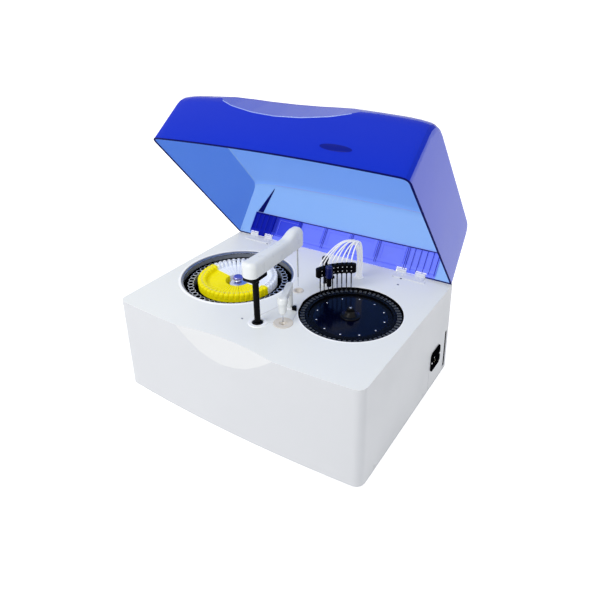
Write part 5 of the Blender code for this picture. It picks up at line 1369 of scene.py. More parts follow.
@dataclass
class ReagentDisc:
    """The left disc: rotor, cups, two runs of bottles and the knob."""

    positions: int = 48
    yellow_count: int = 25
    yellow_first: float = math.radians(-188.19)
    bottle_inner: float = 0.034
    bottle_outer: float = 0.110
    bottle_drop: float = 0.014
    bottle_depth: float = 0.030
    bottle_gap: float = 0.0009
    trough_low: float = -0.053
    trough_wall: float = 0.003
    hub_low: float = -0.073
    hub_floor: float = -0.070
    hub_radius: float = 0.020
    hub_bore: float = 0.006
    sheet: float = 0.002
    collar_length: float = 0.0225
    collar_drop: float = 0.001
    mouth_radius: float = 0.0045
    cup_radius: float = 0.0078
    cup_wall: float = 0.0009
    cup_drop: float = 0.016
    cup_depth: float = 0.024
    axis: Vector = field(default_factory=lambda: axis_of("reagent_spin"))

    @property
    def pitch(self) -> float:
        """The angle between two positions."""
        return math.tau / self.positions

    def build(self) -> None:
        """Builds and places the disc's pieces."""
        self.rotor()
        self.cups()
        yellow = [self.yellow_first + index * self.pitch for index in range(self.yellow_count)]
        white = [yellow[-1] + (index + 1) * self.pitch for index in range(self.positions - self.yellow_count)]
        self.bottles("yellow_bottle_run", "yellow_bottles", yellow, YELLOW, "bottle_yellow", 1.0)
        self.bottles("white_bottle_run", "white_bottles", white, BOTTLE_WHITE, "bottle_white", 0.78)
        self.knob()
        dress(STEEL, "reagent_shaft")

    def rotor(self) -> None:
        """The black rotor with its trough, divider and hub post."""
        box = Box.of("reagent_rotor")
        rim = box.size.x / 2
        top = box.high.z - DECK
        divider = self.bottle_outer + self.sheet
        outer = divider + self.sheet
        floor = self.trough_low + self.trough_wall
        seat = Box.of("reagent_knob").low.z - DECK - SEAT_GAP
        profile = eased([(rim, top, 0.0008), (rim, self.trough_low, 0.001), (outer, self.trough_low),
                         (outer, self.hub_low), (self.hub_bore, self.hub_low), (self.hub_bore, seat),
                         (self.hub_radius, seat, 0.001), (self.hub_radius, self.hub_floor, 0.002),
                         (divider, self.hub_floor, 0.002), (divider, top - self.trough_wall, 0.0008),
                         (outer, top - self.trough_wall, 0.0008), (outer, floor, 0.001),
                         (rim - self.sheet, floor, 0.001), (rim - self.sheet, top, 0.0008)], 3)
        rotor = turned(profile + profile[:1], at_level(self.axis, DECK), 120)
        Piece("reagent_rotor_skin", "reagent_disc", ("reagent_rotor",), "black_plastic").add(
            rotor, SOFT_BLACK).place()

    def cups(self) -> None:
        """The ring of thin round cups in the trough, with painted shade as a black bowl inside each."""
        box = Box.of("sample_cups")
        inner = self.bottle_outer + 0.0045
        circle = (inner + box.size.x / 2) / 2
        radius, wall = self.cup_radius, self.cup_wall
        top, low = -self.cup_drop, -self.cup_drop - self.cup_depth
        outside = [(0.0, low), (radius * 0.86, low), (radius * 0.92, top - 0.003),
                   (radius + 0.0004, top - 0.002),
                   (radius + 0.0004, top), (radius - wall, top)]
        # Painted shade: the cup's inside is a black bowl.
        inside = [(radius - wall, top), (radius * 0.82, top - 0.008), (0.0, top - 0.009)]
        place, centre = Vector((circle, 0.0, DECK)), at_level(self.axis, 0.0)
        angles = [self.yellow_first + index * self.pitch for index in range(self.positions)]
        cups = Piece("sample_cup_ring", "reagent_disc", ("sample_cups",), "clear_plastic")
        cups.add(spun_copies(turned(outside, place, 14), centre, angles), CUP)
        cups.add(spun_copies(turned(inside, place, 14), centre, angles), SOFT_BLACK)
        cups.place()

    def bottles(self, name: str, node: str, angles: list[float], finish: Finish, slot: str,
                collar_share: float) -> None:
        """A run of wedge bottles side by side.

        Args:
            name: the piece's name.
            node: the node that it stands for.
            angles: where the bottles stand.
            finish: their finish.
            slot: the record's material slot.
            collar_share: the width of a collar as a share of its bottle's width.
        """
        centre = at_level(self.axis, 0.0)
        run = Piece(name, "reagent_disc", (node,), slot)
        run.add(spun_copies(self.bottle_body(), centre, angles), finish)
        run.add(spun_copies(self.collar(collar_share), centre, angles), finish)
        circle = self.bottle_outer - self.collar_length / 2
        lip = turned([(self.mouth_radius, -self.collar_drop - 0.0006),
                      (self.mouth_radius + 0.0008, -self.collar_drop),
                      (self.mouth_radius + 0.0016, -self.collar_drop - 0.0006)],
                      Vector((circle, 0.0, DECK)), 12)
        well = turned([(0.0, -self.collar_drop - 0.0003), (self.mouth_radius, -self.collar_drop - 0.0003)],
                      Vector((circle, 0.0, DECK)), 12)
        run.add(spun_copies(lip, centre, angles), finish)
        run.add(spun_copies(well, centre, angles), CHAMBER)
        run.place()

    def wedge(self, near: float, far: float, low: float, high: float, share: float, radius: float) -> BMesh:
        """A softened wedge along X whose sides follow the disc's radii.

        Args:
            near: its inner radius.
            far: its outer radius.
            low: its lower level below the deck.
            high: its upper level below the deck.
            share: its width as a share of its place.
            radius: the radius of its edges.

        Returns:
            The wedge.
        """
        shape = block((near, -1.0, DECK + low), (far, 1.0, DECK + high))
        for vert in shape.verts:
            half = vert.co.x * math.tan(self.pitch / 2) * share - self.bottle_gap / 2
            vert.co.y = math.copysign(half, vert.co.y)
        return soften(shape, radius, 3)

    def bottle_body(self) -> BMesh:
        """The flat body of a bottle."""
        return self.wedge(self.bottle_inner, self.bottle_outer - 0.001, -self.bottle_drop - self.bottle_depth,
                          -self.bottle_drop, 1.0, 0.0009)

    def collar(self, share: float) -> BMesh:
        """The raised end of a bottle, round on top."""
        return self.wedge(self.bottle_outer - self.collar_length, self.bottle_outer,
                          -self.bottle_drop - 0.004, -self.collar_drop, share, 0.0042)

    def knob(self) -> None:
        """The violet knob on its flared bright disc."""
        box = Box.of("reagent_knob")
        seat = box.low.z
        top = box.high.z - seat
        centre = at_level(self.axis, seat)
        flare = eased([(0.0, 0.0), (0.0245, 0.0, 0.001), (0.0250, 0.0055, 0.001),
                       (0.0200, 0.0090, 0.004),
                       (0.0105, 0.0120, 0.004), (0.0085, top - 0.008), (0.0, top - 0.008)], 4)
        dome = eased([(0.0, top - 0.0085), (0.0135, top - 0.0085, 0.001), (0.0148, top - 0.0045, 0.003),
                      (0.0115, top - 0.0005, 0.005), (0.0, top)], 5)
        Piece("reagent_knob_turned", "reagent_disc", ("reagent_knob",), "knob_violet").add(
            turned(flare, centre, 64), SILVER_BLUE).add(turned(dome, centre, 64), VIOLET).place()


# Reaction disc

@dataclass
class ReactionDisc:
    """The right disc: ring, cuvettes, cover plate with its screws, and knob."""

    cuvettes: int = 60
    cuvette_size: tuple[float, float] = (0.0100, 0.0058)
    cuvette_wall: float = 0.0007
    cuvette_drop: float = 0.0057
    cuvette_depth: float = 0.035
    bore_depth: float = 0.030
    cuvette_circle: float = 0.117
    cuvette_phase: float = math.radians(141.2)
    screws: int = 12
    screw_circle: float = 0.084
    screw_first: float = math.radians(12)
    screw_radius: float = 0.0022
    plate_drop: float = 0.0105
    plate_height: float = 0.0025
    plate_bore: float = 0.006
    band_radius: float = 0.0905
    axis: Vector = field(default_factory=lambda: axis_of("reaction_spin"))

    def build(self) -> None:
        """Builds and places the disc's pieces."""
        self.rotor()
        self.cells()
        self.plate()
        self.knob()
        dress(STEEL, "reaction_shaft")

    def rotor(self) -> None:
        """The black ring: its merged copy, with a fine raised matt bead on either side of the cuvettes."""
        rotor = Piece("reaction_rotor_skin", "reaction_disc", ("reaction_rotor",), "black_plastic")
        rotor.add(node_copy("reaction_rotor"), BLACK)
        centre = at_level(self.axis, DECK)
        top = Box.of("reaction_rotor").high.z - DECK
        for radius in (self.cuvette_circle - 0.0078, self.cuvette_circle + 0.0062):
            bead = [(radius - 0.0006, top - 0.0004), (radius + 0.0006, top - 0.0004),
                    (radius + 0.0004, top + 0.0005, 0.0002), (radius - 0.0004, top + 0.0005, 0.0002)]
            rotor.add(ring(bead, centre, 120), SOFT_BLACK)
        rotor.place()

    def cells(self) -> None:
        """The open cuvettes: thin clear walls round a dark bore."""
        length, width = self.cuvette_size
        circle, wall = self.cuvette_circle, self.cuvette_wall
        top = DECK - self.cuvette_drop
        cell = block((circle - length / 2, -width / 2, top - self.cuvette_depth),
                     (circle + length / 2, width / 2, top))
        lid = [face for face in cell.faces if face.normal.z > 0.9]
        bmesh.ops.inset_region(cell, faces=lid, thickness=wall)
        grown(cell, lid, (0.0, 0.0, -self.bore_depth))
        bmesh.ops.delete(cell, geom=lid, context="FACES")
        angles = [self.cuvette_phase + index * math.tau / self.cuvettes for index in range(self.cuvettes)]
        row = spun_copies(cell, at_level(self.axis, 0.0), angles)
        Piece("cuvette_ring", "reaction_disc", ("cuvettes",), "clear_plastic").add(row, CUVETTE).place()

    def plate(self) -> None:
        """The navy cover plate with its black edge band and bright screws, with black bars painted as the
        shade in their slots.
        """
        centre = at_level(self.axis, DECK)
        edge = Box.of("reaction_cover_plate").size.x / 2
        top, low = -self.plate_drop, -self.plate_drop - self.plate_height
        inner = self.band_radius
        navy = [(self.plate_bore, low), (inner, low), (inner, top, 0.0003), (self.plate_bore, top, 0.0003)]
        band = [(inner + 0.0002, low), (edge, low), (edge, top + 0.0002, 0.0008),
                (inner + 0.0002, top + 0.0002, 0.0005)]
        plate = Piece("reaction_plate", "reaction_disc", ("reaction_cover_plate",), "navy_plate")
        plate.add(ring(navy, centre, 120), NAVY).add(ring(band, centre, 120), BLACK)
        radius = self.screw_radius
        head = turned([(radius, 0.0), (radius, 0.0005), (radius * 0.7, 0.0012), (0.0, 0.0013)],
                      Vector((self.screw_circle, 0.0, DECK - self.plate_drop)), 14)
        # Painted shade: a black bar stands for the shade in each screw's slot.
        slot = block((self.screw_circle - radius * 0.7, -0.0002, DECK - self.plate_drop + 0.0008),
                     (self.screw_circle + radius * 0.7, 0.0002, DECK - self.plate_drop + 0.0014))
        angles = [self.screw_first + index * math.tau / self.screws for index in range(self.screws)]
        plate.add(spun_copies(head, at_level(self.axis, 0.0), angles), STEEL)
        plate.add(spun_copies(slot, at_level(self.axis, 0.0), angles), SOFT_BLACK)
        plate.place()

    def knob(self) -> None:
        """The black conical knob with its bright tip."""
        box = Box.of("reaction_knob")
        rise = box.size.z
        base = box.size.x / 2
        profile = eased([(0.0, 0.0), (base, 0.0), (base, rise * 0.12, 0.002),
                         (base * 0.78, rise * 0.20, 0.010),
                         (0.0100, rise * 0.52, 0.012), (0.0084, rise * 0.90, 0.001),
                         (0.0064, rise - 0.0008, 0.0012),
                         (0.0, rise - 0.0008)], 6)
        centre = at_level(self.axis, box.low.z)
        tip = [(0.0, rise), (0.0026, rise - 0.0002), (0.0030, rise - 0.0010)]
        Piece("reaction_knob_turned", "reaction_disc", ("reaction_knob",), "black_plastic").add(
            turned(profile, centre, 72), GLOSS_BLACK).add(turned(tip, centre, 24), STEEL).place()


# Probe, mixer and wells

@dataclass
class Well:
    """An ivory wash well on the deck."""

    node: str
    bore: float = 0.0045
    rim_height: float = 0.0015
    depth: float = 0.030

    def build(self) -> None:
        """Builds and places the well."""
        box = Box.of(self.node)
        rim = box.size.x / 2
        top = self.rim_height + SEAT_GAP
        mouth = min(rim * 0.62, 0.0090)
        profile = eased([(0.0, -self.depth), (self.bore, -self.depth), (self.bore, -0.006),
                         (mouth, -0.0008, 0.001), (mouth + 0.0010, top - 0.0006, 0.0006),
                         (rim - 0.0008, top, 0.0006),
                         (rim, 0.0002), (rim * 0.6, 0.0001)], 3)
        Piece(self.node + "_turned", "root", (self.node,), "well_ivory").add(
            turned(profile, at_level(box.centre, DECK), 48), IVORY).place()


@dataclass
class Guide:
    """The flanged bush that a column slides in, on its raised ring plate."""

    node: str
    column: float
    finish: Finish
    plate_radius: float = 0.0
    plate_height: float = 0.0016

    def build(self) -> None:
        """Builds and places the bush, and the ring plate round it if it has one."""
        box = Box.of(self.node)
        centre = at_level(box.centre, DECK)
        flange = box.size.x / 2
        bush = eased([(self.column + 0.0005, -0.030), (self.column + 0.0005, 0.0033, 0.0005),
                      (flange * 0.78, 0.0033, 0.0008), (flange, 0.0008, 0.0004), (flange, SEAT_GAP),
                      (flange * 0.8, 0.0003), (flange * 0.8, -0.030)], 3)
        Piece(self.node + "_turned", "root", (self.node,), "black_plastic").add(
            turned(bush + bush[:1], centre, 40), self.finish).place()
        if self.plate_radius:
            plate = ring([(flange + 0.0008, 0.0), (self.plate_radius, 0.0),
                          (self.plate_radius - 0.001, self.plate_height, 0.0008),
                          (flange + 0.0008, self.plate_height, 0.0005)], centre, 56)
            Piece(self.node + "_plate", "root", slot="case_white").add(plate, TRIM_WHITE).place()


@dataclass
class Column:
    """A round column that slides in its guide."""

    node: str
    body: str
    finish: Finish
    slot: str
    collar: float = 0.0

    def build(self) -> None:
        """Builds and places the column."""
        box = Box.of(self.node)
        radius, rise = box.size.x / 2, box.size.z
        profile = eased([(0.0, 0.0), (radius, 0.0, 0.0006), (radius, rise, 0.0006), (0.0, rise)], 3)
        piece = Piece(self.node + "_turned", self.body, (self.node,), self.slot)
        piece.add(turned(profile, at_level(box.centre, box.low.z), 40), self.finish)
        if self.collar:
            sleeve = ring([(radius * 0.98, rise - self.collar),
                           (radius + 0.0016, rise - self.collar, 0.0008),
                           (radius + 0.0016, rise - 0.0006, 0.0004), (radius * 0.98, rise - 0.0006)],
                          at_level(box.centre, box.low.z), 40)
            piece.add(sleeve, self.finish)
        piece.place()


@dataclass
class Probe:
    """The probe: column, arm and needle."""

    near_width: float = 0.040
    far_width: float = 0.028
    height: float = 0.038
    hump: float = 0.052
    edge: float = 0.0105
    foot_edge: float = 0.0022
    end_fall: float = 0.022
    slices: int = 26

    def build(self) -> None:
        """Builds and places the probe's pieces."""
        Guide("probe_guide", 0.0075, BLACK, 0.0235).build()
        Well("probe_wash_well").build()
        Column("probe_column", "probe_lift", BLACK, "black_plastic", 0.012).build()
        self.base()
        self.cover()
        self.needle()

    def base(self) -> None:
        """The black block under the arm's near end."""
        box = Box.of("probe_arm_base")
        base = block(box.low, box.high, 0.0030, 3)
        Piece("probe_arm_base_block", "probe_arm", ("probe_arm_base",), "black_plastic").add(base,
                                                                                             BLACK).place()

    def top_height(self, y: float, far: float) -> float:
        """The height of the arm's top above its underside, at a place along it.

        Args:
            y: the place along the arm.
            far: the arm's far end.

        Returns:
            The height.
        """
        start, end = far - self.hump * 1.45, far - self.hump * 0.62
        share = min(1.0, max(0.0, (y - start) / (end - start)))
        rise = share * share * (3 - 2 * share)
        fall = max(0.0, (y - far + self.end_fall) / self.end_fall) ** 2.4 * self.end_fall * 0.75
        return self.height + (self.hump - self.height) * rise - fall

    def plan(self, box: Box, inset: float) -> Outline:
        """The arm's outline from above, drawn in by an inset.

        Args:
            box: the arm's box.
            inset: how far it is drawn in.

        Returns:
            The outline.
        """
        middle = box.centre.x
        near, far = box.low.y + inset, box.high.y - inset
        half_near, half_far = self.near_width / 2 - inset, self.far_width / 2 - inset
        return eased([(middle - half_near, near, half_near * 0.80),
                      (middle + half_near, near, half_near * 0.80),
                      (middle + half_far, far, half_far * 0.97), (middle - half_far, far, half_far * 0.97)],
                      8)

    def cover(self) -> None:
        """The white arm cover: wide at the column, with a hump over the needle and well rounded edges."""
        box = Box.of("probe_arm_cover")
        low, far = box.low.z, box.high.y
        cover = bmesh.new()
        sections = [(self.foot_edge * (1 - math.sin(turn)), self.foot_edge * (1 - math.cos(turn)))
                    for turn in (0.0, math.pi / 4, math.pi / 2)]
        sections += [(self.edge * (1 - math.cos(turn)), self.height - self.edge * (1 - math.sin(turn)))
                     for turn in (math.pi / 2 * step / 6 for step in range(7))]
        loops = []
        for inset, level in sections:
            verts = [cover.verts.new((x, y, low + level)) for x, y in self.plan(box, inset)]
            loops.append([cover.edges.new(pair) for pair in zip(verts, verts[1:] + verts[:1])])
        for lower, upper in zip(loops, loops[1:]):
            bmesh.ops.bridge_loops(cover, edges=lower + upper)
        bmesh.ops.contextual_create(cover, geom=loops[0])
        bmesh.ops.contextual_create(cover, geom=loops[-1])
        for step in range(1, self.slices):
            place = far - self.hump * 1.5 * step / self.slices
            cut(cover, (0.0, place, 0.0), (0.0, 1.0, 0.0))
        for vert in cover.verts:
            vert.co.z = low + (vert.co.z - low) * self.top_height(vert.co.y, far) / self.height
        bmesh.ops.recalc_face_normals(cover, faces=cover.faces)
        Piece("probe_arm_moulding", "probe_arm", ("probe_arm_cover",), "arm_white").add(cover,
                                                                                        ARM_WHITE).place()

    def needle(self) -> None:
        """The steel needle: a sleeve that steps down to a fine tip."""
        box = Box.of("probe_needle")
        centre = at_level(box.centre, box.low.z)
        rise = box.size.z
        step = rise * 0.22
        profile = [(0.0, 0.0), (0.0005, 0.0002), (0.0007, 0.0010), (0.0007, step), (0.0016, step + 0.002),
                   (0.0016, rise * 0.86), (0.0024, rise * 0.87), (0.0024, rise), (0.0, rise)]
        Piece("probe_needle_turned", "probe_arm", ("probe_needle",), "steel").add(
            turned(profile, centre, 20), STEEL).place()


@dataclass
class Mixer:
    """The mixer: column, arm with its tapered head, and paddle."""

    arm_low: float = 0.050
    arm_top: float = 0.070
    arm_width: float = 0.017
    head_radius: float = 0.0130
    foot_radius: float = 0.0092
    head_low: float = 0.026
    rod_radius: float = 0.0011
    stop_place: tuple[float, float, float] = (0.0165, -0.004, 0.0)

    def build(self) -> None:
        """Builds and places the mixer's pieces."""
        Guide("mixer_guide", 0.0075, TRIM_WHITE).build()
        Well("mixer_wash_well").build()
        Column("mixer_column", "mixer_lift", ARM_WHITE, "arm_white").build()
        self.arm()
        self.paddle()
        self.foot_block()

    def arm(self) -> None:
        """The short arm and the bottle-shaped motor head at its end."""
        start, end = axis_of("mixer_swing"), axis_of("mixer_spin")
        run = Vector((end.x - start.x, end.y - start.y))
        half = self.arm_width / 2
        plan = eased([(-half, -half, half * 0.95), (run.length, -half * 0.9),
                      (run.length, half * 0.9),
                      (-half, half, half * 0.95)], 6)
        bar = soften(slab(plan, self.arm_low, self.arm_top - 0.002), 0.003, 3)
        turn = Matrix.Translation(at_level(start, DECK)) @ Matrix.Rotation(math.atan2(run.y, run.x), 4, "Z")
        radius, foot = self.head_radius, self.foot_radius
        head = eased([(0.0, self.head_low), (foot * 0.72, self.head_low, 0.001),
                      (foot, self.head_low + 0.004, 0.002),
                      (foot * 1.12, self.arm_low - 0.002, 0.006), (radius, self.arm_low + 0.006, 0.006),
                      (radius * 0.93, self.arm_top - 0.004, 0.004), (radius * 0.62, self.arm_top, 0.003),
                      (0.0, self.arm_top)], 5)
        Piece("mixer_arm_moulding", "mixer_arm", ("mixer_arm",), "arm_white").add(moved(bar, turn),
                                                                                  ARM_WHITE).add(
            turned(head, at_level(end, DECK), 48), ARM_WHITE).place()

    def paddle(self) -> None:
        """The steel stirring paddle."""
        box = Box.of("mixer_paddle")
        middle = box.centre
        paddle = Piece("mixer_paddle_rod", "mixer_paddle", ("mixer_paddle",), "steel")
        paddle.add(rod(self.rod_radius, (middle.x, middle.y, box.low.z + 0.004),
                       (middle.x, middle.y, box.high.z),
                       16), STEEL)
        paddle.add(node_copy("mixer_paddle"), STEEL)
        paddle.place()

    def foot_block(self) -> None:
        """The small black stop at the foot of the mixer's column."""
        place = at_level(axis_of("mixer_swing"), DECK) + Vector(self.stop_place)
        stop = soften(slab([(-0.006, -0.005), (0.007, -0.004), (0.002, 0.006), (-0.005, 0.005)], 0.0,
                           0.010), 0.001, 2)
        Piece("mixer_foot_stop", "root", slot="black_plastic").add(moved(stop, Matrix.Translation(place)),
                                                                   BLACK).place()


# Wash station

@dataclass
class WashStation:
    """The wash station: manifold with its needles, cap, clip and looped tubes."""

    needles: int = 8
    circle: float = 0.117
    middle_angle: float = math.radians(138.2)
    pitch: float = math.tau / 60
    width: float = 0.016
    low: float = 0.050
    top: float = 0.074
    tip_drop: float = 0.002
    stub_radius: float = 0.0028
    stub_height: float = 0.004
    tube_radius: float = 0.0018
    tube_rise: float = 0.036
    tube_lean: float = 0.20
    tube_peak: float = 0.150
    tube_fan_share: float = 0.02
    plug_radius: float = 0.010
    plug_height: float = 0.003
    plug_circle: float = 0.0072
    tube_steps: int = 28
    post_radius: float = 0.0062
    post_cap_radius: float = 0.0092
    post_low: float = 0.023
    end_share: float = 0.45
    dot_inset: float = 0.0065
    dot_radius: float = 0.0013
    clip_drop: float = 0.012
    clip_index: int = 4
    axis: Vector = field(default_factory=lambda: axis_of("reaction_spin"))

    def build(self) -> None:
        """Builds and places the wash station's pieces."""
        Guide("wash_guide", 0.0058, TRIM_WHITE).build()
        Column("wash_column", "wash_head", BLACK, "black_plastic", 0.008).build()
        self.manifold()
        self.needle_row()
        self.cap()
        self.gland()
        self.tubes()

    def angles(self) -> list[float]:
        """The angles at which the needles stand."""
        middle = (self.needles - 1) / 2
        return [self.middle_angle + (index - middle) * self.pitch for index in range(self.needles)]

    def bar(self, inner: float, outer: float, low: float, high: float, radius: float) -> BMesh:
        """A bar curved about the disc's axis, with rounded ends.

        Args:
            inner: its inner radius.
            outer: its outer radius.
            low: its lower level above the deck.
            high: its upper level above the deck.
            radius: the radius of its edges.

        Returns:
            The bar.
        """
        angles = self.angles()
        start, end = angles[0] - self.pitch * self.end_share, angles[-1] + self.pitch * self.end_share
        steps = self.needles * 3
        middle, half = (inner + outer) / 2, (outer - inner) / 2
        arcs = ((self.axis, outer, start, end, steps, 0),
                (around(self.axis, middle, end, 0.0), half, end, end + math.pi, 8, 1),
                (self.axis, inner, end, start, steps, 0),
                (around(self.axis, middle, start, 0.0), half, start + math.pi, start + math.tau, 8, 1))
        points = [tuple(around(centre, reach, first + (last - first) * step / count, 0.0).xy)
                  for centre, reach, first, last, count, skip in arcs
                  for step in range(skip, count + 1 - skip)]
        return soften(slab(points, DECK + low, DECK + high), radius, 3)

    def manifold(self) -> None:
        """The black bar with a row of lobes, two rows of white dots and the tube stubs."""
        column = Box.of("wash_column").centre
        half = self.width / 2
        inner, outer = self.circle - half, self.circle + half
        head = Piece("wash_manifold_bar", "wash_head", ("wash_manifold",), "black_plastic")
        head.add(self.bar(inner + 0.001, outer - 0.001, self.low, self.top, 0.0016), BLACK)
        reach = math.atan2(self.axis.y - column.y, self.axis.x - column.x)
        arm = block((-0.004, -0.007, DECK + self.low), (0.040, 0.007, DECK + 0.0615), 0.001)
        head.add(moved(arm, Matrix.Translation((column.x, column.y, 0.0)) @ Matrix.Rotation(reach, 4, "Z")),
                 BLACK)
        for angle in self.angles():
            spot = around(self.axis, self.circle, angle, DECK)
            lobe = ring([(0.0, self.low + 0.003), (half * 0.98, self.low + 0.003, 0.001),
                         (half * 0.98, self.top - 0.002, 0.002), (0.0, self.top + 0.0006)], spot, 20)
            head.add(lobe, BLACK)
            stub = turned([(0.0, self.top + self.stub_height), (0.0016, self.top + self.stub_height),
                           (self.stub_radius, self.top + 0.0022), (self.stub_radius, self.top - 0.002)],
                           spot, 16)
            head.add(stub, BLACK)
            for level in (self.low + self.dot_inset, self.top - self.dot_inset):
                for side in (-1, 1):
                    face = around(self.axis, self.circle + side * (half * 0.985), angle, DECK + level)
                    away = around(self.axis, self.circle + side * (half * 0.985 + 0.0006), angle,
                                  DECK + level)
                    head.add(rod(self.dot_radius, face, away, 10, self.dot_radius * 9 / 13), TRIM_WHITE)
        self.sensor(head)
        clip_angle = self.angles()[self.clip_index]
        clip = around(self.axis, self.circle, clip_angle, DECK + self.low - self.clip_drop)
        head.add(moved(block((-0.0035, -0.0045, -0.0035), (0.0035, 0.0045, 0.0035), 0.001),
                       Matrix.Translation(clip) @ Matrix.Rotation(clip_angle, 4, "Z")), BLACK)
        head.place()

    def sensor(self, head: Piece) -> None:
        """The navy capped black post that hangs in front of the bar, a third along it.

        Args:
            head: the piece that it is added to.
        """
        angle = (self.angles()[5] + self.angles()[6]) / 2
        spot = around(self.axis, self.circle - self.width / 2 - self.post_radius - 0.0005, angle, DECK)
        cap, post = self.post_cap_radius, self.post_radius
        profile = eased([(0.0, self.post_low), (post, self.post_low, 0.001), (post, self.low),
                         (0.0, self.low)], 3)
        dome = eased([(0.0, self.low - 0.002), (cap, self.low - 0.002, 0.0015),
                      (cap, self.top + 0.006, 0.004),
                      (0.0, self.top + 0.006)], 4)
        head.add(turned(profile, spot, 24), BLACK).add(turned(dome, spot, 28), CAP_BLUE)

    def needle_row(self) -> None:
        """The eight steel needles, each with a sleeve under the bar."""
        row = Piece("wash_needle_row", "wash_head", ("wash_needles",), "steel")
        row.add(self.bar(self.circle - 0.003, self.circle + 0.003, self.low - 0.0026, self.low - 0.0006,
                         0.0004), BLACK)
        for angle in self.angles():
            spot = around(self.axis, self.circle, angle, DECK)
            rise = self.low - 0.001
            profile = [(0.0, -self.tip_drop), (0.0008, -self.tip_drop), (0.0012, 0.0), (0.0012, 0.016),
                       (0.0016, 0.0165), (0.0016, rise - 0.006), (0.0022, rise - 0.0055), (0.0022, rise)]
            row.add(turned(profile, spot, 12), DARK_NEEDLE)
        row.place()

    def cap(self) -> None:
        """The navy cap on the column, ribbed at its foot."""
        box = Box.of("wash_cap")
        radius, rise = box.size.x / 2, box.size.z
        profile = eased([(0.0, 0.0), (radius, 0.0, 0.0006), (radius, rise * 0.24, 0.0004),
                         (radius * 0.93, rise * 0.28, 0.0004), (radius * 0.95, rise * 0.82, 0.002),
                         (radius * 0.80, rise, 0.0016), (0.0, rise)], 4)
        Piece("wash_cap_turned", "wash_head", ("wash_cap",), "navy_plate").add(
            turned(profile, at_level(box.centre, box.low.z), 32), NAVY).place()

    def gland(self) -> None:
        """The gland that the tubes go into."""
        box = Box.of("tube_gland")
        flange = box.size.x / 2
        top = box.high.z - DECK
        profile = eased([(0.0, top), (flange * 0.74, top, 0.0008), (flange, top * 0.45, 0.0008),
                         (flange, SEAT_GAP), (flange * 0.72, 0.0003), (flange * 0.72, -0.006)],
                         3)
        Piece("tube_gland_turned", "root", ("tube_gland",), "black_plastic").add(
            turned(profile, at_level(box.centre, DECK), 48), TRIM_WHITE).place()

    def tube_ends(self, gland: Vector) -> list[Vector]:
        """The tubes' lower ends on the gland, in the order that keeps the tubes from crossing.

        Args:
            gland: the gland's middle.

        Returns:
            The ends.
        """
        turn = math.atan2(gland.y - self.axis.y, gland.x - self.axis.x)
        step = math.tau / self.needles
        spots = [around(gland, self.plug_circle, turn + (index + 0.5) * step,
                        0.0) for index in range(self.needles)]
        across = Vector((-math.sin(self.middle_angle), math.cos(self.middle_angle), 0.0))
        return sorted(spots, key=lambda spot: spot.dot(across))

    def tubes(self) -> None:
        """The soft white tubes that loop from the stubs to the plug on the gland."""
        gland = Box.of("tube_gland").centre
        start_level = DECK + self.top + self.stub_height + SEAT_GAP
        seat = Box.of("tube_gland").high.z + SEAT_GAP
        plug_top = seat + self.plug_height
        bundle = Piece("wash_tube_bundle", "root", ("wash_tubes",), "tube_white")
        plug = turned(eased([(0.0, 0.0), (self.plug_radius, 0.0),
                             (self.plug_radius, self.plug_height, 0.0008),
                             (0.0, self.plug_height)], 3), at_level(gland, seat), 40)
        bundle.add(plug, TUBE)
        for index, (angle, end) in enumerate(zip(self.angles(), self.tube_ends(gland))):
            foot = around(self.axis, self.circle, angle, start_level + self.tube_radius * 2)
            end = at_level(end, plug_top - SEAT_GAP)
            peak = Vector((0.0, 0.0, self.tube_peak * (1 + self.tube_fan_share * index)))
            lean = (at_level(end, 0.0) - at_level(foot, 0.0)) * self.tube_lean
            leave = foot + Vector((0.0, 0.0, self.tube_rise)) + lean
            arrive = at_level(end, plug_top) + peak + lean
            route = [at_level(foot, start_level)]
            for step in range(self.tube_steps + 1):
                t = step / self.tube_steps
                back = 1 - t
                route.append(foot * back ** 3 + leave * 3 * t * back ** 2 + arrive * 3 * t ** 2 * back
                             + end * t ** 3)
            bundle.add(piped(route, self.tube_radius, 3), TUBE)
        self.set_bundle(bundle)

    def set_bundle(self, bundle: Piece) -> None:
        """Places the bundle, then frees it from its body and applies its place to its mesh.

        Args:
            bundle: the tubes and their plug.
        """
        thing = bundle.place()
        thing.parent = None
        del thing["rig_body"]
        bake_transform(thing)


# Studio

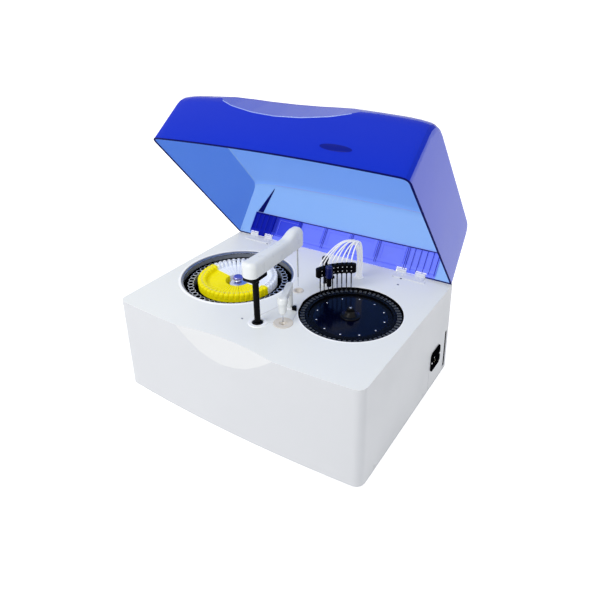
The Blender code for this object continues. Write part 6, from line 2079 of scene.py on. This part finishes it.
@dataclass
class Studio:
    """The pale floor, the soft lamps, the background and the camera."""

    azimuth: float = math.radians(34.9698)
    elevation: float = math.radians(23.2171)
    roll: float = math.radians(-1.9587)
    lens: float = 35.446
    shift: tuple[float, float] = (0.02815, -0.11413)
    camera_place: Vector = field(default_factory=lambda: Vector((0.75425, -1.139582, 1.0119)))
    floor_size: float = 200.0
    floor_glow: float = 0.78
    world_strength: float = 0.60
    look_at: tuple[float, float, float] = (0.0, 0.0, 0.3)
    seeing_rays: tuple[str, ...] = ("Is Camera Ray", "Is Glossy Ray", "Is Transmission Ray")

    def build(self) -> None:
        """Builds the studio."""
        bpy.context.scene.view_settings.view_transform = "Standard"
        self.background()
        self.floor()
        self.lamp("key_softbox", (-0.75, -2.2, 2.5), 1.8, 48.0)
        self.lamp("side_softbox", (2.9, -0.7, 1.0), 1.6, 5.0)
        self.camera()

    def background(self) -> None:
        """A white background, and a softer white light from all round."""
        world = bpy.data.worlds.new("studio_world")
        world.use_nodes = True
        bpy.context.scene.world = world
        tree = world.node_tree
        tree.nodes.clear()
        nodes: dict[str, bpy.types.Node] = {}
        wire(tree, nodes,
             {"light": ("Background", {"Color": (0.93, 0.96, 1.0, 1.0), "Strength": self.world_strength}),
              "white": ("Background", {"Color": (1.0, 1.0, 1.0, 1.0)}), "mix": ("MixShader", {}),
              "out": ("OutputWorld", {})},
             (("light", 0, "mix", 1), ("white", 0, "mix", 2), ("mix", 0, "out", "Surface")))
        tree.links.new(any_ray(tree, *self.seeing_rays), nodes["mix"].inputs[0])

    def floor(self) -> None:
        """The plain white floor, which still takes the object's shadow."""
        shape = bmesh.new()
        bmesh.ops.create_grid(shape, x_segments=1, y_segments=1, size=self.floor_size / 2)
        mesh = bpy.data.meshes.new("studio_floor")
        shape.to_mesh(mesh)
        shape.free()
        floor = bpy.data.objects.new("studio_floor", mesh)
        bpy.context.scene.collection.objects.link(floor)
        made = bpy.data.materials.new("studio_floor_white")
        made.use_nodes = True
        tree = made.node_tree
        nodes = {"shader": tree.nodes["Principled BSDF"], "out": tree.nodes["Material Output"]}
        for label, value in (("Base Color", (0.86, 0.86, 0.87, 1.0)), ("Roughness", 0.9),
                             ("Specular IOR Level", 0.0)):
            nodes["shader"].inputs[label].default_value = value
        wire(tree, nodes,
             {"glow": ("Emission", {"Strength": self.floor_glow}), "none": ("Emission", {"Strength": 0.0}),
              "pick": ("MixShader", {}), "both": ("AddShader", {})},
             (("none", 0, "pick", 1), ("glow", 0, "pick", 2), ("shader", 0, "both", 0),
              ("pick", 0, "both", 1),
              ("both", 0, "out", "Surface")))
        tree.links.new(any_ray(tree, *self.seeing_rays), nodes["pick"].inputs[0])
        mesh.materials.append(made)

    def lamp(self, name: str, place: Iterable[float], size: float, power: float) -> None:
        """A square softbox that looks at the middle of the object.

        Args:
            name: the lamp's name.
            place: where it hangs.
            size: its side.
            power: its power in watts.
        """
        data = bpy.data.lights.new(name, "AREA")
        data.shape = "SQUARE"
        data.size = size
        data.energy = power
        lamp = bpy.data.objects.new(name, data)
        lamp.location = place
        lamp.rotation_euler = (Vector(place) - Vector(self.look_at)).to_track_quat("Z", "Y").to_euler()
        bpy.context.scene.collection.objects.link(lamp)

    def camera(self) -> None:
        """The camera at the photograph's place."""
        azimuth, elevation = self.azimuth, self.elevation
        back = Vector((math.sin(azimuth) * math.cos(elevation), -math.cos(azimuth) * math.cos(elevation),
                       math.sin(elevation)))
        right = Vector((math.cos(azimuth), math.sin(azimuth), 0.0))
        up = back.cross(right)
        across = right * math.cos(self.roll) + up * math.sin(self.roll)
        upward = up * math.cos(self.roll) - right * math.sin(self.roll)
        data = bpy.data.cameras.new("photo_camera")
        data.lens = self.lens
        data.shift_x, data.shift_y = self.shift
        camera = bpy.data.objects.new("photo_camera", data)
        turn = Matrix((across, upward, back)).transposed().to_4x4()
        camera.matrix_world = Matrix.Translation(self.camera_place) @ turn
        bpy.context.scene.collection.objects.link(camera)
        bpy.context.scene.camera = camera


def main() -> None:
    """Builds the analyzer and its studio."""
    logging.basicConfig(level=logging.INFO, format="%(name)s %(message)s")
    for part in (Housing(), PowerInlet(), RearFace(), Lid(), ReagentDisc(), ReactionDisc(), Probe(), Mixer(),
                 WashStation(), Studio()):
        LOG.info("building %s", type(part).__name__)
        part.build()
    bpy.context.view_layer.update()


if __name__ == "__main__":
    main()
